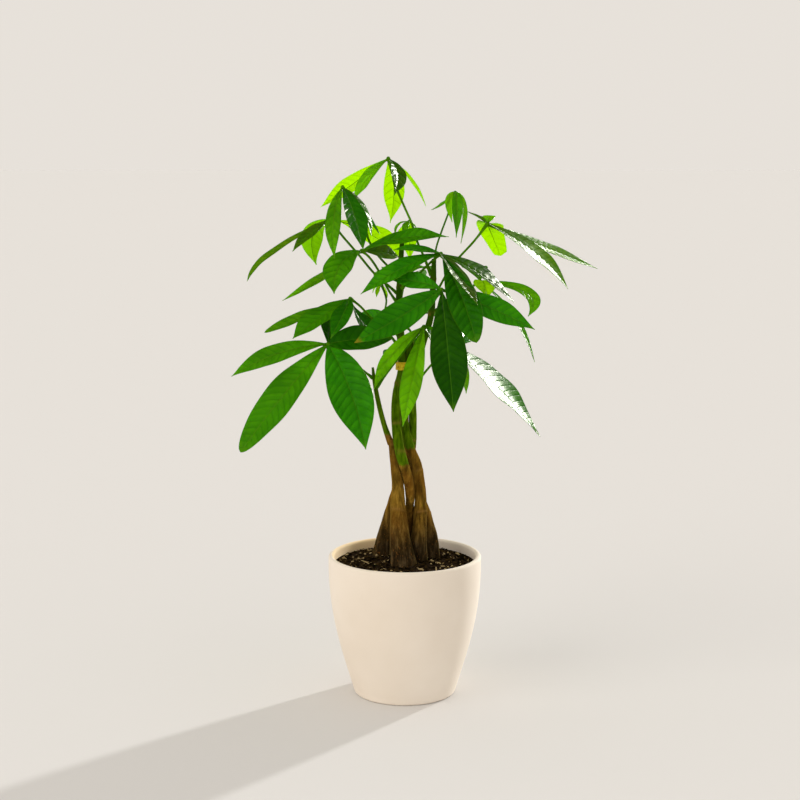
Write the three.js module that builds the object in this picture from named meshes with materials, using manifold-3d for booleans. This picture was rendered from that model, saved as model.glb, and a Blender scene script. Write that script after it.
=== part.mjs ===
// A money tree in a tapered ceramic pot. Five slim trunks stand in the soil and are braided
// together; above the braid they go on as green shoots that carry palm-shaped leaves.
// Millimetres, +Z up, origin on the floor at the middle of the pot's foot, -Y is the front.

import * as THREE from 'three';
import { mergeVertices } from 'three/addons/utils/BufferGeometryUtils.js';
import Module from 'manifold-3d';

const wasm = await Module();
wasm.setup();

// Pot: height, radius over the lip, radius where the foot's rounding ends, wall and roundings.
// The wall swells between two handles: how far out each lies and its share of the height.
const POT_HEIGHT = 148;
const RIM_RADIUS = 80;
const FOOT_RADIUS = 54;
const FOOT_ROUNDING = 3;
const WALL = 6;
const LIP_ROUNDING = 3;
const LOWER_HANDLE = { radius: 66, height: 0.29 };
const UPPER_HANDLE = { radius: 81, height: 0.57 };
const WALL_ROWS = 8;
const FLOOR_RADIUS = 42;
const POT_SIDES = 36;

// Soil: how far it lies below the rim, how much it crowns, its rings, and its crumbs' height
// and the lengths of the waves that make them.
const SOIL_DROP = 10;
const SOIL_CROWN = 5;
const SOIL_RINGS = 5;
const CRUMB = 1.1;
const CRUMB_WAVES = [5.1, 4.3, 2.9];

// Room left between pieces that touch on the real plant.
const CLEARANCE = 0.3;

// Stems and leaf stalks: sides of their round sections, and rings for each bend of a route.
const STEM_SIDES = 9;
const STALK_SIDES = 6;
const RINGS_PER_BEND = 2;

// Leaf stalk: its radius, how much it swells at both ends, and the knot where leaflets meet.
const STALK_RADIUS = 1.2;
const STALK_SWELLING = 0.9;
const HUB_RADIUS = 3;
const YOUNG_SHARE = 0.8;

// Leaflet: length of a row of its grid and the fewest and most rows, how round its outline is
// and where it starts to run out to its tip, half width of its base and tip, the rise of its
// halves from the rib, its edge's wave as a share of the width and in radians along the length,
// and its thickness at rib, edge and base.
const BLADE_STEP = 16;
const BLADE_ROWS = [4, 7];
const BLADE_ROUNDNESS = 0.8;
const POINT_START = 0.35;
const BASE_HALF = 1.1;
const TIP_HALF = 0.35;
const BLADE_FOLD = 0.22;
const WAVE_SHARE = 0.07;
const WAVE_TURN = 7;
const RIB_THICKNESS = 1.0;
const EDGE_THICKNESS = 0.7;
const BASE_THICKENING = 1.2;

// Tie: a plastic band round the stems above the braid.
const TIE_HEIGHT = 347;
const TIE_WIDTH = 10;
const TIE_THICKNESS = 1.3;
const TIE_ROOM = 0.5;
const TIE_SIDES = 24;
const TIED_STEMS = ['stem_left', 'stem_back', 'stem_right', 'stem_far_right'];

const FINISHES = {
  pot: { color: 0xe6dccb, roughness: 0.6 },
  soil: { color: 0x2c211a, roughness: 1 },
  bark: { color: 0x6d5327, roughness: 0.8 },
  tie: { color: 0xd9c21c, roughness: 0.5 },
  leaf: { color: 0x2f7a12, roughness: 0.4 },
  youngLeaf: { color: 0x8fd31c, roughness: 0.4 },
};

// The five stems. Each row is a place on the stem's middle line and its radius there:
// [x, y, z, radius], from the root end in the soil to the cut or leafy top.
const STEMS = {
  stem_left: {
    route: [
      [-26, 24, 97, 9.5], [-25, 22, 135.2, 10.5], [-19, 18, 169.4, 8], [-13, 15, 196.5, 6],
      [-4, 10, 226.7, 5], [6, 5, 254.8, 4.6], [8.2, 2.6, 279.9, 4.3], [8, -3.4, 310, 3.8],
      [10, -2.6, 337, 3.6], [16.5, 1, 363, 3.4], [26.9, 3, 399.9, 3.3], [28.9, 3, 434.9, 3.1],
      [29.9, 4, 456.8, 2.4],
    ],
  },
  stem_front: {
    route: [
      [-1, -22, 97.7, 10.5], [-0.5, -22, 135.9, 13.8], [-5, -20, 168, 10.6], [-7, -16, 195, 8.2],
      [-7.4, -14, 222, 6.2], [-10.4, -12.6, 248.1, 4.9], [-13.1, -10, 271.5, 4.2],
    ],
    shoot: [
      [-14.4, -10.4, 267, 3.6], [-21.2, -12.4, 287, 2.7], [-27, -14, 310.2, 2.5],
      [-31.4, -14, 334.2, 2.1], [-32.9, -15, 347.2, 1.2],
    ],
  },
  stem_back: {
    route: [
      [5, 16, 97.1, 8.5], [6, 13, 143.4, 8.6], [6.5, 10, 166.5, 6.6], [5.7, 5, 187.6, 5],
      [5.2, -3, 201.8, 4.4], [5.4, -10, 213, 5], [3, -15.5, 233.1, 5.1], [-4.4, -19.5, 258.2, 5.2],
      [-9, -15, 287.2, 4.8], [-9, -8, 315.1, 4.5], [-3.6, -2, 343, 3.9], [-4, -1, 369, 3.9],
      [-6, 0, 405, 3.6], [-5, 1, 439.9, 3.1], [-3, 1, 473.8, 2.3],
    ],
  },
  stem_right: {
    route: [
      [17, -4, 97.4, 7.6], [15.5, -7, 135.6, 8.2], [14.5, -8, 164.8, 8.1], [16, -5, 187.8, 7.2],
      [16.3, -3.5, 201.8, 6.3], [15.8, -2, 217.8, 6], [12.3, -5, 243, 5.4], [5, -5.5, 264, 4.8],
      [-0.2, -2, 290, 4.3], [0.9, 1.6, 318, 4.1], [4, 4.3, 344.9, 3.7], [6, 5, 371.9, 3.4],
    ],
  },
  stem_far_right: {
    route: [
      [30, 15, 97.1, 9.5], [27.8, 13, 142.4, 10.2], [24.8, 11, 171.5, 7.9], [17.5, 11, 200.6, 5.6],
      [11, 14, 231.6, 5], [1, 16, 259.7, 4.6], [-4, 10, 291.8, 4.3], [-3.5, 9, 321.8, 4.1],
      [-1.5, 11, 344.8, 3.7], [1, 13, 367.8, 3.4],
    ],
  },
};

// The leaves. stalk: the bends of the leaf stalk, from inside its stem to the point where the
// leaflets meet. facing: the way that the upper side looks. Of each leaflet: its tip, its
// greatest width, how far the rib arches up from a straight line and sways sideways, and where
// it turns (via) if it curls. belly moves the widest place towards the tip, and point draws the
// tip out, or makes it blunt where it is under 1.
const UP = [0, 0, 1];
const LEAVES = {
  leaf_low_left: {
    stem: 'stem_front', facing: [-0.2, -0.8, 0.55],
    stalk: [[-33, -14, 336.2], [-43.9, -17, 345.3], [-59.9, -24, 359.4], [-77.8, -32, 373.5]],
    leaflets: [
      { tip: [-173.6, -52, 343], width: 22, arch: 5, sway: 5 },
      { tip: [-163, -78, 270.8], width: 35, arch: 2.5, sway: 1.5, belly: 1.15, point: 0.55 },
      { tip: [-38.8, -80, 273.9], width: 43, arch: 6, sway: -5.5, belly: 1, point: 1.1 },
      { tip: [-12.1, -26, 378.7], width: 29, arch: 4, belly: 0.9, point: 0.8 },
      { tip: [-68.9, 48, 400.2], width: 30, arch: 10, facing: UP },
    ],
  },
  leaf_mid_left: {
    stem: 'stem_back', facing: [0, -0.35, 1],
    stalk: [[-5, -2, 365], [-19, 0, 383], [-34.9, -2, 397], [-45.9, -4, 409], [-55.9, -6, 417]],
    leaflets: [
      { tip: [-142.6, -20, 383.6], width: 19, belly: 1.5, point: 0.55 },
      { tip: [-112.5, -44, 380.1], width: 33, arch: 1.5 },
      { tip: [-73.8, -60, 382], width: 20, arch: 5, sway: -3 },
      { tip: [-32.1, 20, 380.8], width: 16, arch: -2, sway: 3, belly: 2.2, facing: [0, -0.8, 0.6] },
    ],
  },
  leaf_left_centre: {
    stem: 'stem_back', facing: [0, -0.5, 0.85],
    stalk: [
      [-6, 0, 409], [-17, -6, 426], [-25.9, -10, 444.1], [-35.9, -12, 459.1], [-43.9, -12, 466.1],
    ],
    leaflets: [
      { tip: [-69.8, -66, 427], width: 29, arch: 6, sway: 8.5 },
      { tip: [-5.9, 10, 458], width: 20, arch: 2.5, facing: [0, -0.7, 0.7] },
      { tip: [44, -30, 480.9], width: 24, arch: 7, point: 1.6 },
      { tip: [-125.7, 4, 413.9], width: 15, arch: -1, sway: -1.5 },
    ],
  },
  leaf_left_upper: {
    stem: 'stem_back', facing: [0, -0.25, 1],
    stalk: [
      [-5, 2, 418.9], [-19, 8, 430.8], [-31.9, 12, 441.7], [-47.9, 15, 460.6], [-66.8, 16, 482.6],
      [-76.8, 16, 496.5],
    ],
    leaflets: [
      { tip: [-161.6, 2, 433.9], width: 16, via: [-151.1, 10, 460.9] },
      { tip: [-112.7, -30, 466.3], width: 15, arch: 3 },
      { tip: [-92.7, 44, 447.9], width: 23, arch: 9, sway: -11, facing: [0, 0.7, 0.7] },
      { tip: [-5, 74, 454.7], width: 30, arch: 10, belly: 2, facing: [0.2, 0.8, 0.5] },
    ],
  },
  leaf_upper_left: {
    stem: 'stem_back', facing: UP,
    stalk: [
      [-4, 2, 429.9], [-15, 10, 445.8], [-26.9, 16, 458.6], [-35.9, 14, 472.6], [-41.9, 6, 490.7],
      [-62.8, -14, 529.9],
    ],
    leaflets: [
      { tip: [-69.8, -48, 460.6], width: 16, arch: 9, sway: 3 },
      { tip: [-40.9, -68, 469.9], width: 22, arch: 6, belly: 1.25 },
      { tip: [-33.8, -18, 481.1], width: 16, arch: 4, sway: -5, facing: [0.8, -0.35, 0.48] },
      { tip: [-25.6, 12, 481.7], width: 12, arch: 0 },
    ],
  },
  leaf_top: {
    stem: 'stem_left', facing: UP,
    stalk: [
      [26.9, 5, 439.8], [19.9, 0, 457.9], [12.9, -4, 473.9], [7, -7, 492.9], [-1, -3, 510.8],
      [-7, 2, 524.7], [-17, 14, 558.4],
    ],
    leaflets: [
      { tip: [-88.9, 66, 507.3], width: 19, arch: 0.5, facing: [0, 0.8, 0.6] },
      { tip: [-53.8, 28, 515.3], width: 17, arch: 4, facing: [0, -0.6, 0.8] },
      { tip: [-15.5, 50, 491.1], width: 22, arch: 8, sway: 5, point: 1.5, facing: [0, 1, 0.3] },
      { tip: [-10.6, -36, 522.6], width: 18, arch: 6, sway: -4, point: 1.4, facing: [0.5, -0.5, 0.7] },
      { tip: [21.9, 38, 509.2], width: 8, arch: 5 },
    ],
  },
  leaf_top_young: {
    stem: 'stem_back', facing: UP, young: true,
    stalk: [[-3, 1, 465.9], [-3, 3, 477.8], [0, 4, 485.8], [4, 6, 494.7]],
    leaflets: [
      { tip: [-10, -2, 479.9], width: 6, arch: 6 },
      { tip: [-1, -12, 481], width: 7, arch: 4 },
      { tip: [-5, 32, 455.4], width: 15, arch: 6 },
      { tip: [5, 34, 453.4], width: 15, arch: 6 },
      { tip: [11.9, 6, 484.7], width: 5, arch: 2 },
    ],
  },
  leaf_right_young: {
    stem: 'stem_left', facing: UP, young: true,
    stalk: [
      [29.9, 4, 449.8], [31.9, 2, 467.8], [36.9, 0, 483.8], [43.8, -3, 502.8], [50.9, -4, 524.6],
    ],
    leaflets: [
      { tip: [47.6, -12, 494.5], width: 9, via: [41, -10, 523.8], facing: [-0.4, -0.8, 0.4] },
      { tip: [51.5, -22, 479.7], width: 11, via: [53.3, -34, 526], facing: [0.1, -0.9, 0.4] },
      { tip: [57, 0, 472.6], width: 8, via: [65.4, -6, 520.5], facing: [0.6, -0.6, 0.5] },
      { tip: [53.1, 18, 491.6], width: 10, via: [57.8, 26, 523], facing: [0, 0.8, 0.5] },
      { tip: [26.8, 14, 506.1], width: 8, via: [42.4, 8, 511.5] },
    ],
  },
  leaf_right_upper: {
    stem: 'stem_left', facing: [0.5, -0.35, 0.8],
    stalk: [
      [28.9, 2, 414.9], [36.9, 2, 430.9], [47.9, 4, 449.8], [58.8, 5, 461.8], [70.8, 6, 474.8],
      [84.7, 8, 492.7],
    ],
    leaflets: [
      {
        tip: [101.7, 62, 456.3], width: 28, belly: 0.8, point: 0.2,
        via: [86.8, 60, 490.4], facing: [0.15, 0.5, 0.85],
      },
      { tip: [173.2, 60, 421.2], width: 24, via: [147, 42, 461], facing: [0.7, -0.49, 0.51] },
      { tip: [211.3, 120, 438.7], width: 14, via: [150, 68, 464], facing: [0.66, -0.47, 0.58] },
      { tip: [64.2, 40, 503.7], width: 10, arch: 1 },
      { tip: [89, 55, 499], width: 14, arch: 1, facing: [0, -0.3, 1] },
    ],
  },
  leaf_right_centre: {
    stem: 'stem_back', facing: [0, -0.5, 0.87],
    stalk: [
      [-3, -2, 427], [5, -10, 436.1], [14.9, -18, 444.2], [25.9, -26, 455.3], [35.9, -34, 464.4],
    ],
    leaflets: [
      { tip: [-10.6, -43, 468.9], width: 13, arch: 3 },
      { tip: [-43.9, -62, 426.1], width: 24, arch: 6 },
      {
        tip: [69.1, -96, 382.1], width: 31, arch: 6, sway: -3,
        belly: 1.5, point: 0.6, facing: [-0.25, -0.7, 0.65],
      },
      { tip: [111.5, -6, 413.2], width: 27, arch: 6, sway: 2.5, facing: [0.48, -0.4, 0.77] },
      { tip: [70, -98, 418.9], width: 31, arch: 0, belly: 0.85, facing: [0.7, -0.5, 0.5] },
    ],
  },
  leaf_front_centre: {
    stem: 'stem_left', facing: [0, -0.85, 0.5],
    stalk: [[27.7, 1.2, 411.5], [30.9, -20, 418.3], [34.9, -42, 425.6], [35.9, -62, 430.9]],
    leaflets: [
      { tip: [-13.2, -50, 439.1], width: 18, arch: 1.5, sway: 3 },
      { tip: [-49.4, -86, 380.8], width: 31, arch: 3, sway: -3, belly: 1.05, point: 1 },
      { tip: [46.6, -112, 316.8], width: 36, arch: 6, belly: 1.3, point: 1.1 },
      { tip: [128, -66, 391.7], width: 25, via: [82.5, -53, 415] },
    ],
  },
  leaf_low_centre: {
    stem: 'stem_front', facing: [0, -0.8, 0.6],
    stalk: [[-29, -14, 326.2], [-15, -26, 347.4], [1, -38, 369.6], [18.9, -48, 392.7]],
    leaflets: [
      { tip: [-30.9, -58, 330.9], width: 15, arch: 5, sway: 6 },
      { tip: [-2.4, -78, 296.8], width: 21, arch: 5 },
      { tip: [57.2, -40, 366.2], width: 20, arch: 3 },
      { tip: [28.9, -14, 363.2], width: 16, arch: 5 },
    ],
  },
  leaf_low_right: {
    stem: 'stem_left', facing: [0.45, -0.58, 0.68],
    stalk: [[9.5, 2, 321.9], [16, -8, 335.1], [31.9, -18, 355.3], [47.9, -26, 368.4]],
    leaflets: [
      { tip: [141.4, 10, 270.9], width: 48, arch: 4, belly: 0.95, facing: [0.74, -0.3, 0.6] },
      { tip: [62, -34, 323.1], width: 13, arch: 5 },
      { tip: [71.8, 58, 378.1], width: 22, arch: 6 },
    ],
  },
  leaf_right_back: {
    stem: 'stem_left', facing: UP,
    stalk: [[27.9, 4, 401.9], [44.9, 14, 410.7], [61.8, 28, 420.5], [78.8, 38, 431.3]],
    leaflets: [
      { tip: [84.9, -4, 417.3], width: 24, arch: 6 },
      { tip: [128, 22, 395.8], width: 17, via: [153.3, 34, 424.4], facing: [0.55, -0.7, 0.5] },
      { tip: [135.8, 24, 347.6], width: 11, arch: 9, facing: [0.74, -0.42, 0.52] },
      { tip: [71.8, 118, 435.1], width: 28, arch: 8 },
    ],
  },
  leaf_young_shoot: {
    stem: 'stem_back', facing: UP, young: true,
    stalk: [[-5, 0, 374], [-13, -10, 388.1], [-20, -12, 403.2], [-19, -10, 416.1], [-24, -6, 432]],
    leaflets: [
      { tip: [-32.9, -10, 423.1], width: 4, arch: 2 },
      { tip: [-28.9, -14, 419.2], width: 5, arch: 2 },
      { tip: [-19, -4, 415], width: 5, arch: 2 },
    ],
  },
  leaf_back_mid: {
    stem: 'stem_right', facing: UP,
    stalk: [[6.5, 4, 365.9], [9, 15, 372.7], [4, 38, 381.4], [-5, 58, 388.1]],
    leaflets: [
      { tip: [-53.9, 96, 387.5], width: 18, arch: 4, facing: [0, -1, 0.3] },
      { tip: [-27, 140, 365.8], width: 32, arch: 10 },
      { tip: [4, 160, 366.4], width: 34, arch: 12 },
      { tip: [44.9, 140, 377.8], width: 32, arch: 10 },
      { tip: [71.8, 112, 385.2], width: 26, arch: 8 },
    ],
  },
  leaf_back_low: {
    stem: 'stem_far_right', facing: UP,
    stalk: [[-3.5, 9, 325.8], [0, 24, 335.6], [5, 40, 347.4], [8, 54, 355.1]],
    leaflets: [
      { tip: [-20, 110, 334.2], width: 26, arch: 8 },
      { tip: [-3, 140, 321.8], width: 32, arch: 8 },
      { tip: [9.9, 118, 298.8], width: 22, arch: 6 },
      { tip: [18.5, 150, 355.3], width: 24, arch: 7 },
      { tip: [40.2, 118, 366.8], width: 16, arch: 7 },
    ],
  },
  leaf_back_upper: {
    stem: 'stem_back', facing: UP,
    stalk: [[-6, 0, 402], [-4, 14, 413.7], [-2, 30, 424.5], [-1, 46, 434.2]],
    leaflets: [
      { tip: [-32.9, 96, 427.4], width: 24, arch: 7 },
      { tip: [-18, 130, 429.9], width: 28, arch: 8 },
      { tip: [16.9, 136, 420.8], width: 28, arch: 8 },
      { tip: [31.9, 100, 436.3], width: 24, arch: 8 },
    ],
  },
};

const vector = ([x, y, z]) => new THREE.Vector3(x, y, z);

// Turns a closed three.js geometry into a solid that can be cut and joined.
function solidFrom(geometry) {
  geometry.deleteAttribute('normal');
  geometry.deleteAttribute('uv');
  const merged = mergeVertices(geometry);
  const triangles = [];
  for (let i = 0; i < merged.index.count; i += 3) {
    const [a, b, c] = [0, 1, 2].map((k) => merged.index.getX(i + k));
    if (a !== b && b !== c && c !== a) triangles.push(a, b, c);
  }
  return new wasm.Manifold(new wasm.Mesh({
    numProp: 3,
    vertProperties: new Float32Array(merged.attributes.position.array),
    triVerts: new Uint32Array(triangles),
  }));
}

// Makes the named mesh of one piece.
function piece(name, solid, finish) {
  const { vertProperties, triVerts } = solid.getMesh();
  const geometry = new THREE.BufferGeometry();
  geometry.setAttribute('position', new THREE.BufferAttribute(vertProperties, 3));
  geometry.setIndex(new THREE.BufferAttribute(triVerts, 1));
  geometry.computeVertexNormals();
  const material = new THREE.MeshStandardMaterial({ ...finish, metalness: 0 });
  const mesh = new THREE.Mesh(geometry, material);
  mesh.name = name;
  return mesh;
}

// A round limb along a smooth route of [x, y, z, radius] places, with flat ends.
function limb(route, sides, extra = 0) {
  const curve = new THREE.CatmullRomCurve3(route.map(vector));
  const steps = RINGS_PER_BEND * (route.length - 1);
  const frames = curve.computeFrenetFrames(steps, false);
  const geometry = new THREE.CylinderGeometry(1, 1, 1, sides, steps);
  const places = geometry.attributes.position;
  for (let i = 0; i < places.count; i += 1) {
    const step = Math.round((places.getY(i) + 0.5) * steps);
    const along = curve.getUtoTmapping(step / steps) * (route.length - 1);
    const before = Math.min(Math.floor(along), route.length - 2);
    const radius = THREE.MathUtils.lerp(route[before][3], route[before + 1][3], along - before) + extra;
    const place = curve.getPointAt(step / steps)
      .addScaledVector(frames.normals[step], radius * places.getX(i))
      .addScaledVector(frames.binormals[step], -radius * places.getZ(i));
    places.setXYZ(i, place.x, place.y, place.z);
  }
  return solidFrom(geometry);
}

// The pot's outer wall swells from the foot to a nearly upright top.
const wallCurve = new THREE.CubicBezierCurve(
  new THREE.Vector2(FOOT_RADIUS, FOOT_ROUNDING),
  new THREE.Vector2(LOWER_HANDLE.radius, LOWER_HANDLE.height * POT_HEIGHT),
  new THREE.Vector2(UPPER_HANDLE.radius, UPPER_HANDLE.height * POT_HEIGHT),
  new THREE.Vector2(RIM_RADIUS, POT_HEIGHT - LIP_ROUNDING),
);
const outerWall = wallCurve.getPoints(WALL_ROWS);
const innerWall = outerWall.filter((point) => point.y > WALL + 2)
  .map((point) => new THREE.Vector2(point.x - WALL, point.y));

// Points of a quarter or half circle in the plane of a turned profile.
function arc(radius, height, size, from, to, steps) {
  return Array.from({ length: steps + 1 }, (_, i) => {
    const angle = THREE.MathUtils.lerp(from, to, i / steps);
    return new THREE.Vector2(radius + size * Math.cos(angle), height + size * Math.sin(angle));
  });
}

// Turns a profile of [radius, height] points about the pot's upright axis.
function turned(profile) {
  const geometry = new THREE.LatheGeometry(profile, POT_SIDES);
  geometry.rotateX(Math.PI / 2);
  return geometry;
}

function pot() {
  const foot = arc(FOOT_RADIUS - FOOT_ROUNDING, FOOT_ROUNDING, FOOT_ROUNDING, -Math.PI / 2, 0, 3);
  const lip = arc(RIM_RADIUS - LIP_ROUNDING, POT_HEIGHT - LIP_ROUNDING, LIP_ROUNDING, 0, Math.PI, 6);
  const profile = [
    new THREE.Vector2(0, 0),
    ...foot.slice(0, -1),
    ...outerWall.slice(0, -1),
    ...lip,
    ...innerWall.slice(0, -1).reverse(),
    new THREE.Vector2(FLOOR_RADIUS, WALL),
    new THREE.Vector2(0, WALL),
  ];
  return piece('pot', solidFrom(turned(profile)), FINISHES.pot);
}

// How far the soil's crumbs stand out at a place.
function crumbs(x, y) {
  const [long, middle, short] = CRUMB_WAVES;
  return CRUMB * (Math.sin(x / long) * Math.cos(y / middle) + Math.sin(x / short + y / middle) / 2);
}

// The soil fills the pot up to a crumbly, slightly crowned top, with a hole for each stem.
function soil() {
  const top = POT_HEIGHT - SOIL_DROP;
  const above = innerWall.findIndex((point) => point.y >= top);
  const [last, next] = [innerWall[above - 1], innerWall[above]];
  const rim = last.clone().lerp(next, (top - last.y) / (next.y - last.y));
  const inset = new THREE.Vector2(CLEARANCE, 0);
  const profile = [
    new THREE.Vector2(0, WALL + CLEARANCE),
    new THREE.Vector2(FLOOR_RADIUS - CLEARANCE, WALL + CLEARANCE),
    ...[...innerWall.slice(0, above), rim].map((point) => point.clone().sub(inset)),
  ];
  for (let ring = SOIL_RINGS - 1; ring >= 0; ring -= 1) {
    const share = ring / SOIL_RINGS;
    profile.push(new THREE.Vector2((rim.x - CLEARANCE) * share, top + SOIL_CROWN * (1 - share ** 2)));
  }
  const geometry = turned(profile);
  const places = geometry.attributes.position;
  for (let i = 0; i < places.count; i += 1) {
    const [x, y, z] = [places.getX(i), places.getY(i), places.getZ(i)];
    if (z > top + CLEARANCE) places.setZ(i, z + crumbs(x, y));
  }
  let solid = solidFrom(geometry);
  for (const { route } of Object.values(STEMS)) {
    const [x, y, z, radius] = route[0];
    const hole = [[x, y, z - CLEARANCE, radius], ...route.slice(1)];
    solid = solid.subtract(limb(hole, STEM_SIDES, CLEARANCE));
  }
  return piece('soil', solid, FINISHES.soil);
}

// A stem, with the green shoot that leaves it where it has one.
function stemSolid({ route, shoot }, extra = 0) {
  const stem = limb(route, STEM_SIDES, extra);
  return shoot ? stem.add(limb(shoot, STALK_SIDES, extra)) : stem;
}

// Where the middle line of a stem passes a height, and its radius there.
function stemAt(name, height) {
  const { route } = STEMS[name];
  const above = route.findIndex((place) => place[2] > height);
  const [low, high] = [route[above - 1], route[above]];
  const share = (height - low[2]) / (high[2] - low[2]);
  return low.map((value, i) => THREE.MathUtils.lerp(value, high[i], share));
}

// The tie runs round the outside of the stems that it holds, as a stretched band does.
function tie() {
  const levels = [-0.5, 0, 0.5].map((share) => TIE_HEIGHT + share * TIE_WIDTH);
  const circles = TIED_STEMS.flatMap((name) => levels.map((level) => stemAt(name, level)));
  const middle = new THREE.Vector2();
  circles.forEach(([x, y]) => middle.add(new THREE.Vector2(x, y)));
  middle.divideScalar(circles.length);
  const band = (room) => Array.from({ length: TIE_SIDES }, (_, i) => {
    const angle = (2 * Math.PI * i) / TIE_SIDES;
    const way = new THREE.Vector2(Math.cos(angle), Math.sin(angle));
    const reach = circles.map(([x, y, , radius]) => (
      way.x * (x - middle.x) + way.y * (y - middle.y) + radius));
    return middle.clone().addScaledVector(way, Math.max(...reach) + room);
  });
  const outline = new THREE.Shape(band(TIE_ROOM + TIE_THICKNESS));
  outline.holes.push(new THREE.Path(band(TIE_ROOM)));
  const geometry = new THREE.ExtrudeGeometry(outline, { depth: TIE_WIDTH, bevelEnabled: false });
  geometry.translate(0, 0, TIE_HEIGHT - TIE_WIDTH / 2);
  return piece('tie', solidFrom(geometry), FINISHES.tie);
}

// One leaflet: a thin blade with a narrow base, a drip tip and a wavy edge, folded along an
// arched rib. Both faces are split into triangles alike.
function leaflet(hub, row) {
  const { width, arch = 0, sway = 0, belly = 1.2, point = 1.2, via, facing } = row;
  const tip = vector(row.tip);
  const chord = tip.clone().sub(hub).normalize();
  const normal = vector(facing).projectOnPlane(chord).normalize();
  const side = chord.clone().cross(normal);
  const turn = via ? vector(via) : hub.clone().lerp(tip, 0.5)
    .addScaledVector(normal, 2 * arch).addScaledVector(side, 2 * sway);
  const rib = new THREE.QuadraticBezierCurve3(hub, turn, tip);
  const rows = THREE.MathUtils.clamp(Math.round(tip.distanceTo(hub) / BLADE_STEP), ...BLADE_ROWS);
  const sheet = new THREE.PlaneGeometry(2, 1, 2, rows);
  const grid = sheet.attributes.position;
  const places = new Float32Array(grid.count * 6);
  for (let i = 0; i < grid.count; i += 1) {
    const t = grid.getY(i) + 0.5;
    const s = grid.getX(i);
    const runOut = THREE.MathUtils.smoothstep(t, POINT_START, 1);
    const power = THREE.MathUtils.lerp(BLADE_ROUNDNESS, point, runOut);
    const outline = (width / 2) * Math.max(0, Math.sin(Math.PI * t ** belly)) ** power;
    const half = Math.max(outline, t < 0.5 ? BASE_HALF : TIP_HALF);
    const along = rib.getTangent(t);
    const up = normal.clone().projectOnPlane(along).normalize();
    const across = along.cross(up);
    const wave = WAVE_SHARE * half * Math.sin(WAVE_TURN * t + s + hub.x + tip.x);
    const lift = s * s * half * BLADE_FOLD + s * wave;
    const thick = (s === 0 ? RIB_THICKNESS : EDGE_THICKNESS) + BASE_THICKENING * (1 - t) ** 6;
    const top = rib.getPoint(t).addScaledVector(across, s * half)
      .addScaledVector(up, lift + thick / 2);
    top.toArray(places, 3 * i);
    top.addScaledVector(up, -thick).toArray(places, 3 * (i + grid.count));
  }
  const geometry = new THREE.BufferGeometry();
  geometry.setAttribute('position', new THREE.BufferAttribute(places, 3));
  geometry.setIndex(bladeTriangles(sheet, rows));
  return solidFrom(geometry);
}

// The triangles of a blade: the sheet's own on top, the same ones turned over below, and a
// strip of two for each stretch of the edge between them.
function bladeTriangles(sheet, rows) {
  const { count } = sheet.attributes.position;
  const triangles = [];
  for (let i = 0; i < sheet.index.count; i += 3) {
    const [a, b, c] = [0, 1, 2].map((k) => sheet.index.getX(i + k));
    triangles.push(a, b, c, a + count, c + count, b + count);
  }
  const left = Array.from({ length: rows + 1 }, (_, row) => 3 * row);
  const right = left.map((corner) => corner + 2).reverse();
  const edge = [1, ...left, count - 2, ...right];
  edge.forEach((from, i) => {
    const to = edge[(i + 1) % edge.length];
    triangles.push(from + count, to + count, to, from + count, to, from);
  });
  return triangles;
}

// A leaf: its stalk with a swollen foot, the hub, and the leaflets that spread from it.
function leaf(name, { stem, facing, stalk, leaflets, young }) {
  const hub = vector(stalk[stalk.length - 1]);
  const size = young ? YOUNG_SHARE : 1;
  const route = stalk.map((place, i) => {
    const swollen = i === 0 || i === stalk.length - 1 ? STALK_SWELLING : 0;
    return [...place, (STALK_RADIUS + swollen) * size];
  });
  const cutStalk = limb(route, STALK_SIDES).subtract(stemSolid(STEMS[stem], CLEARANCE));
  const knot = new THREE.SphereGeometry(HUB_RADIUS * size, STALK_SIDES, 4);
  knot.translate(hub.x, hub.y, hub.z);
  const blades = leaflets.map((row) => leaflet(hub, { facing, ...row }));
  const whole = [solidFrom(knot), ...blades].reduce((sum, next) => sum.add(next), cutStalk);
  return piece(name, whole, young ? FINISHES.youngLeaf : FINISHES.leaf);
}

const tree = new THREE.Group();
tree.add(pot(), soil());
for (const [name, stem] of Object.entries(STEMS)) {
  tree.add(piece(name, stemSolid(stem), FINISHES.bark));
}
tree.add(tie());
for (const [name, row] of Object.entries(LEAVES)) {
  tree.add(leaf(name, row));
}

export default tree;
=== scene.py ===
import math
import random

import bpy
import numpy as np
from mathutils import Euler, Matrix, Vector, noise


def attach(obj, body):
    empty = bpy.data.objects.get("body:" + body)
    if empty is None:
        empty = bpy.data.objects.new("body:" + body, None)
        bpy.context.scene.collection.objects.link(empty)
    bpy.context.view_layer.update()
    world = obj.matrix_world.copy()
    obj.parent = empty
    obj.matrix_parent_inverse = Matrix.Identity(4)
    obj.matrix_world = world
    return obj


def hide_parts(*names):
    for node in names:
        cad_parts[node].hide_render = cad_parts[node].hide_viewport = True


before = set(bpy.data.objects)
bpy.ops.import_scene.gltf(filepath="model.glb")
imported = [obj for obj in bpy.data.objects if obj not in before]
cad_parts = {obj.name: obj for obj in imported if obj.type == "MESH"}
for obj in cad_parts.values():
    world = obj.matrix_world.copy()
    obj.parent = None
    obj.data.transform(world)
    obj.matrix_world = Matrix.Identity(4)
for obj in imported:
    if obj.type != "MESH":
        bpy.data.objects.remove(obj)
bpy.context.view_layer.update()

random.seed(7)


# Camera: a long lens a little above the crown, looking slightly down on the plant, so that the
# pot's mouth shows as a narrow ellipse.

LENS = 72
CAMERA_PLACE = (-0.00504, -1.63626, 0.56163)
CAMERA_PITCH = math.radians(8.7)

bpy.ops.object.camera_add(
    location=CAMERA_PLACE, rotation=(math.pi / 2 - CAMERA_PITCH, 0, 0))
camera = bpy.context.object
camera.data.lens = LENS
camera.data.sensor_width = 36
camera.data.clip_end = 200
bpy.context.scene.camera = camera


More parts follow.
